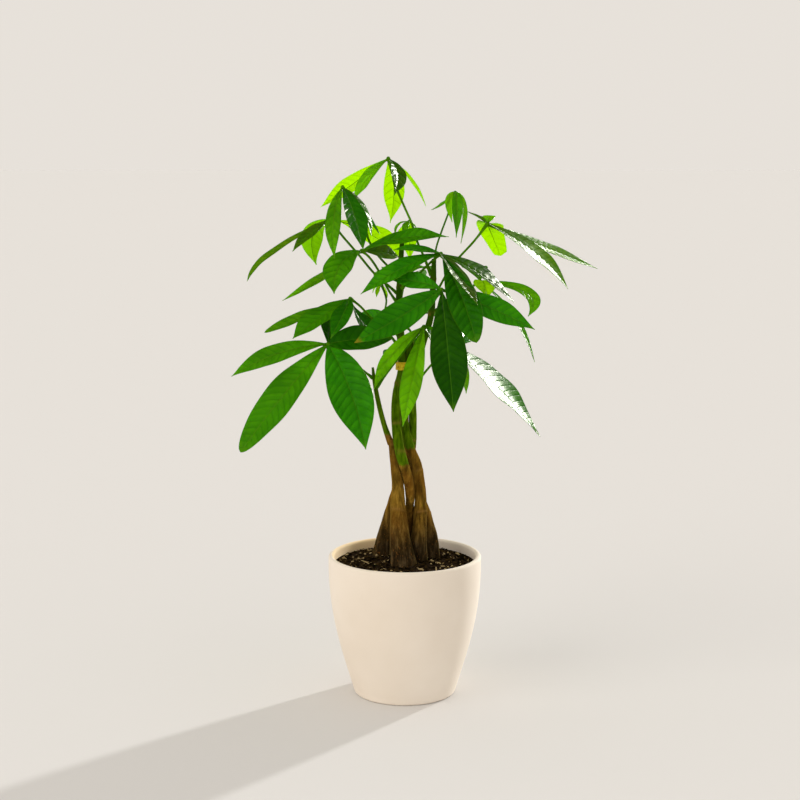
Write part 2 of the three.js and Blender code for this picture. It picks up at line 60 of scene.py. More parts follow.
# Pot: a cast ceramic planter, fired with a matte cream glaze inside and out. Its wall swells
# softly from a rounded foot to a nearly upright top and ends in a thin rounded lip.

POT_HEIGHT = 0.148
RIM_RADIUS = 0.080
FOOT_RADIUS = 0.054
FOOT_ROUNDING = 0.003
WALL = 0.006
LIP_ROUNDING = 0.003
LOWER_HANDLE = (0.066, 0.29 * POT_HEIGHT)
UPPER_HANDLE = (0.081, 0.57 * POT_HEIGHT)
FLOOR_RADIUS = 0.042
FLOOR_CORNER = 0.002
POT_SIDES = 128
FOOT_STEPS, WALL_STEPS, LIP_STEPS = 6, 28, 10


def wall_point(t):
    """Radius and height of the outer wall, from the foot at t 0 to the lip at t 1."""
    top = (RIM_RADIUS, POT_HEIGHT - LIP_ROUNDING)
    ends = [(FOOT_RADIUS, FOOT_ROUNDING), LOWER_HANDLE, UPPER_HANDLE, top]
    weights = [(1 - t) ** 3, 3 * t * (1 - t) ** 2, 3 * t ** 2 * (1 - t), t ** 3]
    return tuple(sum(w * end[axis] for w, end in zip(weights, ends)) for axis in (0, 1))


def rounding(radius, height, size, start, end, steps):
    """Points of an arc in a turned profile; the angles are in degrees."""
    angles = [math.radians(start + (end - start) * i / steps) for i in range(steps + 1)]
    return [(radius + size * math.cos(a), height + size * math.sin(a)) for a in angles]


def deselect():
    """Leaves nothing selected, in object mode."""
    if bpy.context.object and bpy.context.object.mode != "OBJECT":
        bpy.ops.object.mode_set(mode="OBJECT")
    bpy.ops.object.select_all(action="DESELECT")


def pull_rows(profile, start):
    """Extrudes the selected cap or edge ring from row to row of a turned profile."""
    radius, height = start
    for next_radius, next_height in profile:
        bpy.ops.mesh.extrude_region_move(
            TRANSFORM_OT_translate={"value": (0, 0, next_height - height)})
        scale = next_radius / radius
        bpy.ops.transform.resize(value=(scale, scale, 1))
        radius, height = next_radius, next_height


def finish_mesh(angle):
    """Turns the faces of the mesh in edit mode outward and smooths those that meet under an angle."""
    bpy.ops.mesh.select_all(action="SELECT")
    bpy.ops.mesh.normals_make_consistent(inside=False)
    bpy.ops.object.mode_set(mode="OBJECT")
    bpy.ops.object.shade_smooth_by_angle(angle=math.radians(angle))


def new_material(name):
    """A material with an empty node tree and its output, for the looks of one finish."""
    material = bpy.data.materials.new(name)
    material.use_nodes = True
    material.node_tree.nodes.clear()
    return material, material.node_tree.nodes.new("ShaderNodeOutputMaterial")


def add_node(material, kind, **inputs):
    """Adds a node; an input is named by its socket and takes a value or a socket."""
    node = material.node_tree.nodes.new(kind)
    for name, value in inputs.items():
        socket = node.inputs[int(name[1:])] if name[0] == "_" else node.inputs[name.replace("_", " ")]
        if isinstance(value, bpy.types.NodeSocket):
            material.node_tree.links.new(value, socket)
        else:
            socket.default_value = value
    return node


def ramp(material, factor, stops):
    """A colour ramp; each stop is a place and a colour or a grey."""
    node = add_node(material, "ShaderNodeValToRGB", Fac=factor)
    elements = node.color_ramp.elements
    while len(elements) < len(stops):
        elements.new(0.5)
    for element, (place, colour) in zip(elements, stops):
        element.position = place
        element.color = (*colour, 1) if isinstance(colour, tuple) else (colour, colour, colour, 1)
    return node.outputs["Color"]


def mixed(material, factor, first, second, blend="MIX"):
    """Two colours mixed by a factor."""
    node = add_node(material, "ShaderNodeMix")
    node.data_type = "RGBA"
    node.blend_type = blend
    sockets = [s for s in node.inputs if s.enabled]
    for socket, value in zip(sockets, (factor, first, second)):
        if isinstance(value, bpy.types.NodeSocket):
            material.node_tree.links.new(value, socket)
        else:
            socket.default_value = (*value, 1) if isinstance(value, tuple) else value
    return next(s for s in node.outputs if s.enabled)


def sums(material, operation, *values):
    """A Math node on up to three numbers or sockets."""
    node = add_node(material, "ShaderNodeMath")
    node.operation = operation
    for socket, value in zip(node.inputs, values):
        if isinstance(value, bpy.types.NodeSocket):
            material.node_tree.links.new(value, socket)
        else:
            socket.default_value = value
    return node.outputs["Value"]


def grain(material, scale, detail=4.0, roughness=0.5, stretch=(1, 1, 1)):
    """Noise on object coordinates; scale counts its waves in a metre."""
    place = add_node(material, "ShaderNodeTexCoord").outputs["Object"]
    mapping = add_node(material, "ShaderNodeMapping", Vector=place, Scale=stretch)
    node = add_node(
        material, "ShaderNodeTexNoise",
        Vector=mapping.outputs["Vector"], Scale=scale, Detail=detail, Roughness=roughness)
    return node.outputs["Fac"]


def bump(material, strength, distance, height, **inputs):
    """The normal of a surface that a height pushes out by up to a distance in metres."""
    return add_node(
        material, "ShaderNodeBump", Strength=strength, Distance=distance, Height=height,
        **inputs).outputs["Normal"]


def surface(material, output, **inputs):
    """Ends a material in one Principled shader."""
    shader = add_node(material, "ShaderNodeBsdfPrincipled", **inputs)
    material.node_tree.links.new(shader.outputs["BSDF"], output.inputs["Surface"])


wall_profile = [wall_point(i / WALL_STEPS) for i in range(WALL_STEPS + 1)]
inside_profile = [(r - WALL, h) for r, h in reversed(wall_profile) if h > WALL + FLOOR_CORNER]
pot_profile = (
    rounding(FOOT_RADIUS - FOOT_ROUNDING, FOOT_ROUNDING, FOOT_ROUNDING, -90, 0, FOOT_STEPS)
    + wall_profile[1:-1]
    + rounding(
        RIM_RADIUS - LIP_ROUNDING, POT_HEIGHT - LIP_ROUNDING, LIP_ROUNDING, 0, 180, LIP_STEPS)
    + inside_profile[1:]
    + [(FLOOR_RADIUS, WALL)]
)

deselect()
bpy.ops.mesh.primitive_circle_add(
    vertices=POT_SIDES, radius=pot_profile[0][0], fill_type="NGON", location=(0, 0, 0))
pot = bpy.context.object
pot.name = "pot_shell"
bpy.ops.object.mode_set(mode="EDIT")
bpy.ops.mesh.select_all(action="SELECT")
pull_rows(pot_profile[1:], pot_profile[0])
finish_mesh(50)

glaze, glaze_out = new_material("cream_glaze")
cloud = grain(glaze, 11, 3)
speck = grain(glaze, 900, 2, 0.7)
cream = ramp(glaze, cloud, [(0.3, (0.83, 0.74, 0.63)), (0.7, (0.89, 0.81, 0.71))])
cream = mixed(glaze, ramp(glaze, speck, [(0.27, 0.2), (0.36, 0.0)]), cream, (0.66, 0.56, 0.45))

# Above the soil the inner wall is painted a warmer tone, most of all on the left: painted warm
# bounce light. A gradient that falls off from the pot's axis tells the inner wall from the outer one.
INNER_WALL_REACH = 0.0768
PAINTED_BOUNCE_FROM = 0.131
GRADIENT_SCALE = 10

place = add_node(glaze, "ShaderNodeTexCoord").outputs["Object"]
flat = add_node(
    glaze, "ShaderNodeMapping", Vector=place, Scale=(GRADIENT_SCALE, GRADIENT_SCALE, 0))
hollow = add_node(glaze, "ShaderNodeTexGradient", Vector=flat.outputs["Vector"])
hollow.gradient_type = "SPHERICAL"
wall_stop = 1 - GRADIENT_SCALE * INNER_WALL_REACH
places = add_node(glaze, "ShaderNodeSeparateXYZ", Vector=place).outputs
inside = sums(
    glaze, "MULTIPLY", sums(glaze, "GREATER_THAN", places["Z"], PAINTED_BOUNCE_FROM),
    ramp(glaze, hollow.outputs["Fac"], [(wall_stop, 0.0), (wall_stop + 0.01, 1.0)]))
# The painted bounce light is strongest on the left and fades to none on the right.
painted_bounce = ramp(
    glaze, sums(glaze, "MULTIPLY_ADD", places["X"], GRADIENT_SCALE, 0.5), [(0.3, 1.0), (0.7, 0.0)])
cream = mixed(glaze, sums(glaze, "MULTIPLY", inside, painted_bounce), cream, (1.0, 0.76, 0.46))
surface(
    glaze, glaze_out, Base_Color=cream, Roughness=0.8, Specular_IOR_Level=0.1,
    Normal=bump(glaze, 0.08, 0.0004, grain(glaze, 420, 3)))
pot.data.materials.append(glaze)
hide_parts("pot")
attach(pot, "root")


# Soil: a chunky mix of dark bark, peat and a little pumice, filled to a finger's width below
# the lip and slightly heaped round the trunks. It lies loose and is uneven all over.

SOIL_TOP = 0.138
SOIL_CROWN = 0.005
SOIL_GAP = 0.0003
SOIL_LAP = 0.0002
SOIL_GRID = 150
CLOD_HEIGHT = 0.0016
CLOD_SCALE, LUMP_SCALE = 95, 38


def soil_height(x, y):
    """Height of the soil's clods at a place."""
    reach = min(1.0, math.hypot(x, y) / soil_rim)
    clods = noise.fractal(Vector((x, y, 0)) * CLOD_SCALE, 0.7, 2.2, 4)
    lumps = noise.noise(Vector((x, y, 0.3)) * LUMP_SCALE)
    loose = (1 - reach ** 10) * (CLOD_HEIGHT * clods + CLOD_HEIGHT * lumps)
    return SOIL_TOP + SOIL_CROWN * (1 - reach ** 2) + loose


soil_wall = [(r - SOIL_GAP, h) for r, h in inside_profile if h < SOIL_TOP]
soil_rim = soil_wall[0][0] + SOIL_LAP
deselect()
bpy.ops.mesh.primitive_grid_add(x_subdivisions=SOIL_GRID, y_subdivisions=SOIL_GRID, size=2)
soil = bpy.context.object
soil.name = "soil_bed"
for vertex in soil.data.vertices:
    a, b, _ = vertex.co
    x = soil_rim * a * math.sqrt(1 - b * b / 2)
    y = soil_rim * b * math.sqrt(1 - a * a / 2)
    vertex.co = (x, y, soil_height(x, y))
bpy.ops.object.mode_set(mode="EDIT")
bpy.ops.mesh.select_all(action="SELECT")
bpy.ops.mesh.region_to_loop()
pull_rows(soil_wall[::3] + [(FLOOR_RADIUS, WALL + SOIL_GAP)], (soil_rim, SOIL_TOP))
bpy.ops.mesh.edge_face_add()
finish_mesh(50)

mix, mix_out = new_material("potting_mix")
dark = ramp(mix, grain(mix, 260, 6, 0.7), [
    (0.30, (0.004, 0.003, 0.002)), (0.52, (0.022, 0.014, 0.008)), (0.72, (0.075, 0.050, 0.028))])
surface(
    mix, mix_out, Base_Color=dark, Roughness=0.95, Specular_IOR_Level=0,
    Normal=bump(mix, 0.9, 0.0012, grain(mix, 520, 6, 0.7)))
soil.data.materials.append(mix)
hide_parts("soil")
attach(soil, "root")

# The loose bits on top: bark chips, crumbs and a few pale stones, each shape modelled once
# and strewn as copies of many sizes, half sunk in the bed.

MM = 0.001
BIT_COUNT = 1500
BIT_SIZES = (0.0013, 0.0030)
BIT_MARGIN = 0.0028
# The share of its size by which a bit's middle stands above the bed, and its lean in radians.
BIT_STAND = 0.12
BIT_LEAN = 0.6
# x, y and radius in mm of the trunks' feet, which the bits stay clear of.
TRUNK_FEET = [(-25, 22, 11), (-1, -22, 14), (6, 13, 9), (15.5, -7, 9), (27, 13, 11)]
PALE, BROWN, BLACK = 0.9, 0.45, 0.1


def put(mesh, name, values):
    """Keeps a number for each point of a mesh, for its material to read."""
    attribute = mesh.attributes.new(name, "FLOAT", "POINT")
    attribute.data.foreach_set("value", np.asarray(values, np.float32))


def reads(material, name):
    """The number that a mesh keeps for its points."""
    node = add_node(material, "ShaderNodeAttribute")
    node.attribute_name = name
    return node.outputs["Fac"]


def join(parts, angle):
    """Joins meshes into the first of them and smooths faces that meet under an angle."""
    deselect()
    for part in parts:
        part.select_set(True)
    bpy.context.view_layer.objects.active = parts[0]
    if len(parts) > 1:
        bpy.ops.object.join()
    bpy.ops.object.shade_smooth_by_angle(angle=math.radians(angle))


def strew(shape, place, size, turn, shade):
    """A copy of a bit at a place, with its own mesh and shade."""
    copy = shape.copy()
    copy.data = shape.data.copy()
    bpy.context.collection.objects.link(copy)
    lean = Euler(turn).to_matrix().to_4x4()
    copy.data.transform(Matrix.Translation(place) @ lean @ Matrix.Scale(size, 4))
    put(copy.data, "shade", [shade] * len(copy.data.vertices))
    return copy


def rough_stone(stretch, seed):
    """One knobbly bit, a unit across, pulled longer or flatter."""
    deselect()
    bpy.ops.mesh.primitive_ico_sphere_add(subdivisions=2, radius=0.5)
    stone = bpy.context.object
    for vertex in stone.data.vertices:
        dent = 1 + 0.45 * noise.noise(vertex.co * 3.1 + Vector((seed, 0, 0)))
        vertex.co = Vector([c * s * dent for c, s in zip(vertex.co, stretch)])
    return stone


bit_shapes = [
    rough_stone((1.7, 0.7, 0.4), 1), rough_stone((1.0, 0.8, 0.6), 2),
    rough_stone((2.6, 0.42, 0.34), 3), rough_stone((1.3, 0.9, 0.4), 4),
]
bits = []
while len(bits) < BIT_COUNT:
    angle = random.uniform(0, 2 * math.pi)
    reach = (soil_rim - BIT_MARGIN) * math.sqrt(random.random())
    x, y = reach * math.cos(angle), reach * math.sin(angle)
    if any(math.hypot(x / MM - fx, y / MM - fy) < radius for fx, fy, radius in TRUNK_FEET):
        continue
    size = random.uniform(*BIT_SIZES) * random.choice((0.8, 1, 1.5))
    place = Vector((x, y, soil_height(x, y) + BIT_STAND * size))
    lean = [random.uniform(-BIT_LEAN, BIT_LEAN) for _ in range(2)]
    turn = (*lean, random.uniform(0, 6.3))
    shade = random.choice((PALE, BROWN, BROWN, BROWN, BLACK, BLACK, BLACK))
    shade *= random.uniform(0.7, 1.1)
    bits.append(strew(random.choice(bit_shapes), place, size, turn, shade))
join(bits, 40)
bits = bpy.context.object
bits.name = "soil_bits"
for shape in bit_shapes:
    bpy.data.objects.remove(shape)

chips, chips_out = new_material("bark_and_pumice")
speckled = sums(chips, "MULTIPLY_ADD", grain(chips, 700, 4, 0.7), 0.5, reads(chips, "shade"))
chip_colour = ramp(chips, speckled, [
    (0.40, (0.006, 0.004, 0.0015)), (0.70, (0.040, 0.024, 0.008)),
    (0.88, (0.15, 0.10, 0.035)), (1.0, (0.40, 0.30, 0.15))])
surface(
    chips, chips_out, Base_Color=chip_colour, Roughness=0.9, Specular_IOR_Level=0,
    Normal=bump(chips, 0.6, 0.0006, grain(chips, 900, 4, 0.6)))
bits.data.materials.append(chips)
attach(bits, "root")


# Trunks: five young stems set in the soil and braided by hand as they grew. Their bark is thin
# and olive-brown, grey and fissured at the foot, with flecks and old leaf scars; higher up the
# skin is still green. Each ends inside the soil, where its roots would begin.

STEM_SIDES, STEM_STEPS = 28, 14
SHOOT_SIDES, SHOOT_STEPS = 14, 12
# Places on each stem, and on the side shoot of stem_front: x, y, z and radius in mm.
STEMS = {
    "stem_left": [
        (-26, 24, 97, 9.5), (-25, 22, 135.2, 10.5), (-19, 18, 169.4, 8), (-13, 15, 196.5, 6),
        (-4, 10, 226.7, 5), (6, 5, 254.8, 4.6), (8.2, 2.6, 279.9, 4.3), (8, -3.4, 310, 3.8),
        (10, -2.6, 337, 3.6), (16.5, 1, 363, 3.4), (26.9, 3, 399.9, 3.3), (28.9, 3, 434.9, 3.1),
        (29.9, 4, 456.8, 2.4),
    ],
    "stem_front": [
        (-1, -22, 97.7, 10.5), (-0.5, -22, 135.9, 13.8), (-5, -20, 168, 10.6),
        (-7, -16, 195, 8.2), (-7.4, -14, 222, 6.2), (-10.4, -12.6, 248.1, 4.9),
        (-13.1, -10, 271.5, 4.2),
    ],
    "stem_back": [
        (5, 16, 97.1, 8.5), (6, 13, 143.4, 8.6), (6.5, 10, 166.5, 6.6), (5.7, 5, 187.6, 5),
        (5.2, -3, 201.8, 4.4), (5.4, -10, 213, 5), (3, -15.5, 233.1, 5.1),
        (-4.4, -19.5, 258.2, 5.2), (-9, -15, 287.2, 4.8), (-9, -8, 315.1, 4.5),
        (-3.6, -2, 343, 3.9), (-4, -1, 369, 3.9), (-6, 0, 405, 3.6), (-5, 1, 439.9, 3.1),
        (-3, 1, 473.8, 2.3),
    ],
    "stem_right": [
        (17, -4, 97.4, 7.6), (15.5, -7, 135.6, 8.2), (14.5, -8, 164.8, 8.1), (16, -5, 187.8, 7.2),
        (16.3, -3.5, 201.8, 6.3), (15.8, -2, 217.8, 6), (12.3, -5, 243, 5.4), (5, -5.5, 264, 4.8),
        (-0.2, -2, 290, 4.3), (0.9, 1.6, 318, 4.1), (4, 4.3, 344.9, 3.7), (6, 5, 371.9, 3.4),
    ],
    "stem_far_right": [
        (30, 15, 97.1, 9.5), (27.8, 13, 142.4, 10.2), (24.8, 11, 171.5, 7.9),
        (17.5, 11, 200.6, 5.6), (11, 14, 231.6, 5), (1, 16, 259.7, 4.6), (-4, 10, 291.8, 4.3),
        (-3.5, 9, 321.8, 4.1), (-1.5, 11, 344.8, 3.7), (1, 13, 367.8, 3.4),
    ],
}
SHOOT = [
    (-14.4, -10.4, 267, 3.6), (-21.2, -12.4, 287, 2.7), (-27, -14, 310.2, 2.5),
    (-31.4, -14, 334.2, 2.1), (-32.9, -15, 347.2, 1.2),
]
# Height in mm where the bark of each stem and of the shoot gives way to green skin.
GREEN_FROM = {
    "stem_left": 263, "stem_front": 284, "stem_back": 247, "stem_right": 262,
    "stem_far_right": 262, "shoot": 277,
}
# Heights in mm between which the bark loses its fissures, its flutes and its grey.
FISSURED, FLUTED, GREYED = (150, 300), (136, 178), (152, 206)
# Old leaf scars: height in mm and the side that they face, in degrees from +X.
SCARS = {
    "stem_left": [(269, 260), (318, 300), (352, 230), (401, 200), (436, 20)],
    "stem_front": [(201, 255), (272, 240), (268, 300)],
    "stem_back": [(262, 300), (291, 290), (330, 210), (376, 280), (428, 150)],
    "stem_right": [(196, 300), (240, 310), (292, 270), (335, 240)],
    "stem_far_right": [(190, 330), (240, 0), (300, 20)],
}


def smooth_route(places, steps):
    """Places on the smooth curve through given ones of x, y, z and radius."""
    places = np.array(places, float)
    ends = np.vstack([2 * places[0] - places[1], places, 2 * places[-1] - places[-2]])
    found = []
    for i in range(len(places) - 1):
        p0, p1, p2, p3 = ends[i:i + 4, :3]
        a, b, c = [np.sqrt(np.linalg.norm(q - p)) for p, q in ((p0, p1), (p1, p2), (p2, p3))]
        leave = ((p1 - p0) / a - (p2 - p0) / (a + b) + (p2 - p1) / b) * b
        arrive = ((p2 - p1) / b - (p3 - p1) / (b + c) + (p3 - p2) / c) * b
        for step in range(steps):
            t = step / steps
            place = (p1 + leave * t + (3 * (p2 - p1) - 2 * leave - arrive) * t ** 2
                     + (2 * (p1 - p2) + leave + arrive) * t ** 3)
            found.append([*place, (1 - t) * places[i, 3] + t * places[i + 1, 3]])
    found.append(places[-1])
    return np.array(found)


def limbs(name, routes, sides):
    """Round limbs along routes of x, y, z and radius in mm, as one mesh with closed ends."""
    deselect()
    bpy.ops.curve.primitive_nurbs_path_add()
    path = bpy.context.object
    path.name = name
    path.data.splines.clear()
    for route in routes:
        spline = path.data.splines.new("POLY")
        spline.points.add(len(route) - 1)
        for point, (x, y, z, radius) in zip(spline.points, route):
            point.co = (x * MM, y * MM, z * MM, 1)
            point.radius = radius
    path.data.bevel_depth = MM
    path.data.bevel_resolution = (sides - 4) // 2
    path.data.use_fill_caps = True
    path.data.dimensions = "3D"
    bpy.ops.object.convert(target="MESH")
    return bpy.context.object


def points_of(mesh):
    """The places of a mesh's points, in mm."""
    places = np.empty(3 * len(mesh.vertices))
    mesh.vertices.foreach_get("co", places)
    return places.reshape(-1, 3) / MM


def set_points(mesh, places):
    """Puts a mesh's points at places in mm."""
    mesh.vertices.foreach_set("co", (places * MM).ravel())
    mesh.update()


def noise_at(places, scale, seed):
    """Smooth noise at places in mm; scale is the length of its waves."""
    return np.array([noise.noise(Vector(p) / scale + Vector((seed, 0, 0))) for p in places])


def step_up(values, low, high):
    """0 below low, 1 above high and smooth between."""
    share = np.clip((values - low) / (high - low), 0, 1)
    return share * share * (3 - 2 * share)


def give_bark(name, route, seed):
    """Lumps, fissures, flutes and leaf scars on a stem's round skin, and what its paint reads."""
    mesh = bpy.data.objects[name + "_bark"].data
    places = points_of(mesh)
    gaps = places[:, None, :] - route[None, :, :3]
    nearest = (gaps ** 2).sum(axis=2).argmin(axis=1)
    out = places - route[nearest, :3]
    radius = np.linalg.norm(out, axis=1)
    skin = radius > 0.6 * route[nearest, 3]
    out[skin] /= radius[skin, None]
    out[~skin] = 0
    height = places[:, 2]
    turn = np.arctan2(out[:, 1], out[:, 0])

    # Long fissures and fine cracks, deeper where the bark is old, then broad lumps and flutes.
    old = 1 - step_up(height, *FISSURED)
    stretched = np.column_stack([out[:, 0] * 3.2, out[:, 1] * 3.2, height / 17])
    fine = np.column_stack([out[:, 0] * 7, out[:, 1] * 7, height / 9])
    lift = (0.25 + 0.55 * old) * noise_at(stretched, 1, seed)
    lift += (0.06 + 0.22 * old) * noise_at(fine, 1, seed + 5)
    lift += 0.35 * noise_at(places, 16, seed + 9)
    flare = 1 - step_up(height, *FLUTED)
    lift += 0.9 * flare * np.sin(5 * turn + seed)

    # Each scar is a raised bow on one side of the stem, on a fainter ring all round it.
    scar = np.zeros(len(places))
    for scar_height, side in SCARS[name]:
        gap = np.abs((np.degrees(turn) - side + 180) % 360 - 180)
        bow = height - scar_height + 1.2 * (gap / 60) ** 2
        near = np.exp(-(bow / 1.1) ** 2) * (1 - step_up(gap, 50, 85))
        ring = np.exp(-((height - scar_height - 1.4) / 1.2) ** 2)
        scar = np.maximum(scar, np.maximum(near, 0.25 * ring))
    lift += 0.45 * scar
    set_points(mesh, places + out * lift[:, None])
    ragged = height + 2.2 * noise_at(places, 3, seed + 13)
    put(mesh, "green", step_up(ragged, GREEN_FROM[name] - 1, GREEN_FROM[name] + 1))
    put(mesh, "scar", scar)
    put(mesh, "foot", 1 - step_up(height + 9 * noise_at(places, 11, seed + 3), *GREYED))


bark, bark_out = new_material("bark")
fissures = grain(bark, 240, 6, 0.65, (1, 1, 0.22))
flecks = grain(bark, 620, 5, 0.7, (1, 1, 0.6))
patches = grain(bark, 55, 3)

olive = ramp(bark, fissures, [
    (0.25, (0.020, 0.011, 0.001)), (0.46, (0.12, 0.066, 0.008)), (0.60, (0.25, 0.142, 0.018)),
    (0.8, (0.52, 0.31, 0.050))])
olive = mixed(bark, ramp(bark, patches, [(0.4, 0.0), (0.65, 0.5)]), olive, (0.15, 0.055, 0.006))
olive = mixed(bark, ramp(bark, flecks, [(0.60, 0.0), (0.70, 0.75)]), olive, (0.45, 0.20, 0.028))
greyed = ramp(bark, fissures, [
    (0.25, (0.006, 0.004, 0.0020)), (0.5, (0.030, 0.019, 0.008)), (0.75, (0.130, 0.088, 0.042))])
greyed = mixed(bark, ramp(bark, flecks, [(0.58, 0.0), (0.70, 0.8)]), greyed, (0.28, 0.115, 0.022))
skin_green = ramp(bark, fissures, [
    (0.3, (0.022, 0.055, 0.0005)), (0.55, (0.080, 0.165, 0.002)), (0.8, (0.18, 0.28, 0.006))])
skin_green = mixed(
    bark, ramp(bark, flecks, [(0.65, 0.0), (0.72, 0.4)]), skin_green, (0.20, 0.11, 0.012))
stem_place = add_node(bark, "ShaderNodeTexCoord").outputs["Object"]
stem_height = add_node(bark, "ShaderNodeSeparateXYZ", Vector=stem_place).outputs["Z"]
skin_green = mixed(
    bark, ramp(bark, stem_height, [(0.34, 0.0), (0.39, 0.75)]), skin_green, (0.020, 0.085, 0.0015))
coat = mixed(bark, reads(bark, "foot"), olive, greyed)
coat = mixed(bark, reads(bark, "green"), coat, skin_green)
coat = mixed(bark, sums(bark, "MULTIPLY", reads(bark, "scar"), 0.6), coat, (0.26, 0.14, 0.035))
surface(
    bark, bark_out, Base_Color=coat, Roughness=0.85, Specular_IOR_Level=0,
    Sheen_Weight=0.15, Sheen_Roughness=0.4, Sheen_Tint=(1, 0.72, 0.2, 1),
    Normal=bump(bark, 0.7, 0.0009, sums(bark, "MULTIPLY_ADD", flecks, 0.5, fissures)))

for number, (name, places) in enumerate(STEMS.items()):
    route = smooth_route(places, STEM_STEPS)
    stem = limbs(name + "_bark", [route], STEM_SIDES)
    give_bark(name, route, number * 2.7)
    stem.data.materials.append(bark)
    parts = [stem]
    if name == "stem_front":
        shoot = limbs("shoot", [smooth_route(SHOOT, SHOOT_STEPS)], SHOOT_SIDES)
        places = points_of(shoot.data)
        above = places[:, 2] - GREEN_FROM["shoot"]
        put(shoot.data, "green", step_up(above + noise_at(places, 2, 1), -1, 1))
        put(shoot.data, "scar", 0.6 * np.exp(-((above + 1) / 2) ** 2))
        put(shoot.data, "foot", np.zeros(len(places)))
        shoot.data.materials.append(bark)
        parts.append(shoot)
    join(parts, 60)
    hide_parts(name)
    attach(stem, "root")


# Tie: soft yellow plastic tape, wound a little more than once and a half round the four stems
# above the braid to hold them together, creased where it was pulled tight.

TIE_HEIGHT = 347
TIE_WIDTH = 9.4
TIE_ROOM = 0.6
TAPE_THICKNESS = 0.45
TAPE_WINDS = 1.6
TAPE_START = 4.4
TAPE_LAYER = 0.55
TAPE_CREASE = 0.22
TIED_STEMS = ("stem_left", "stem_back", "stem_right", "stem_far_right")


def stem_at(name, height):
    """x, y and radius of a stem at a height."""
    table = np.array(STEMS[name])
    return [np.interp(height, table[:, 2], table[:, column]) for column in (0, 1, 3)]


def thicken(sheet, thickness):
    """Gives the active sheet a thickness in mm, half of it on each side."""
    bpy.ops.object.modifier_add(type="SOLIDIFY")
    sheet.modifiers["Solidify"].thickness = thickness * MM
    sheet.modifiers["Solidify"].offset = 0
    bpy.ops.object.modifier_apply(modifier="Solidify")


tied = np.array([
    stem_at(name, TIE_HEIGHT + share * TIE_WIDTH)
    for name in TIED_STEMS for share in (-0.5, 0, 0.5)])
tie_middle = tied[:, :2].mean(axis=0)
deselect()
bpy.ops.mesh.primitive_grid_add(x_subdivisions=150, y_subdivisions=8, size=2)
tape = bpy.context.object
tape.name = "tie_tape"
places = points_of(tape.data) * MM
winding = (places[:, 0] + 1) / 2
angle = 2 * math.pi * TAPE_WINDS * winding + TAPE_START
ways = np.column_stack([np.cos(angle), np.sin(angle)])
reach = (ways @ (tied[:, :2] - tie_middle).T + tied[:, 2]).max(axis=1)
reach += TIE_ROOM + TAPE_LAYER * TAPE_WINDS * winding
creases = [noise.noise(Vector((a * 2.4, s * 1.5, 0))) for a, s in zip(angle, places[:, 1])]
reach += TAPE_CREASE * np.array(creases)
height = TIE_HEIGHT + places[:, 1] * (TIE_WIDTH / 2 - 0.5) + 0.5 * np.sin(angle * 0.7)
set_points(tape.data, np.column_stack([tie_middle + ways * reach[:, None], height]))
thicken(tape, TAPE_THICKNESS)
bpy.ops.object.mode_set(mode="EDIT")
finish_mesh(40)

plastic, plastic_out = new_material("yellow_tape")
stains = grain(plastic, 420, 5, 0.7)
yellow = ramp(plastic, stains, [
    (0.34, (0.20, 0.10, 0.004)), (0.46, (0.62, 0.40, 0.012)), (0.7, (0.86, 0.66, 0.03))])
surface(
    plastic, plastic_out, Base_Color=yellow, Roughness=0.6, Specular_IOR_Level=0.1,
    Normal=bump(plastic, 0.5, 0.0005, grain(plastic, 300, 4)))
tape.data.materials.append(plastic)
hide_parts("tie")
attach(tape, "root")


# Leaves: each has a green stalk, swollen at both ends, and three to five leaflets that spread
# like fingers from its tip. A leaflet is thin and waxy, quilted between its side veins, with a
# raised rib below, a wavy edge and a drip tip. Young ones are tender, pale and see-through, and
# leaflets lit from behind by the low sun get the same paler colour as painted light.

UP = (0, 0, 1)
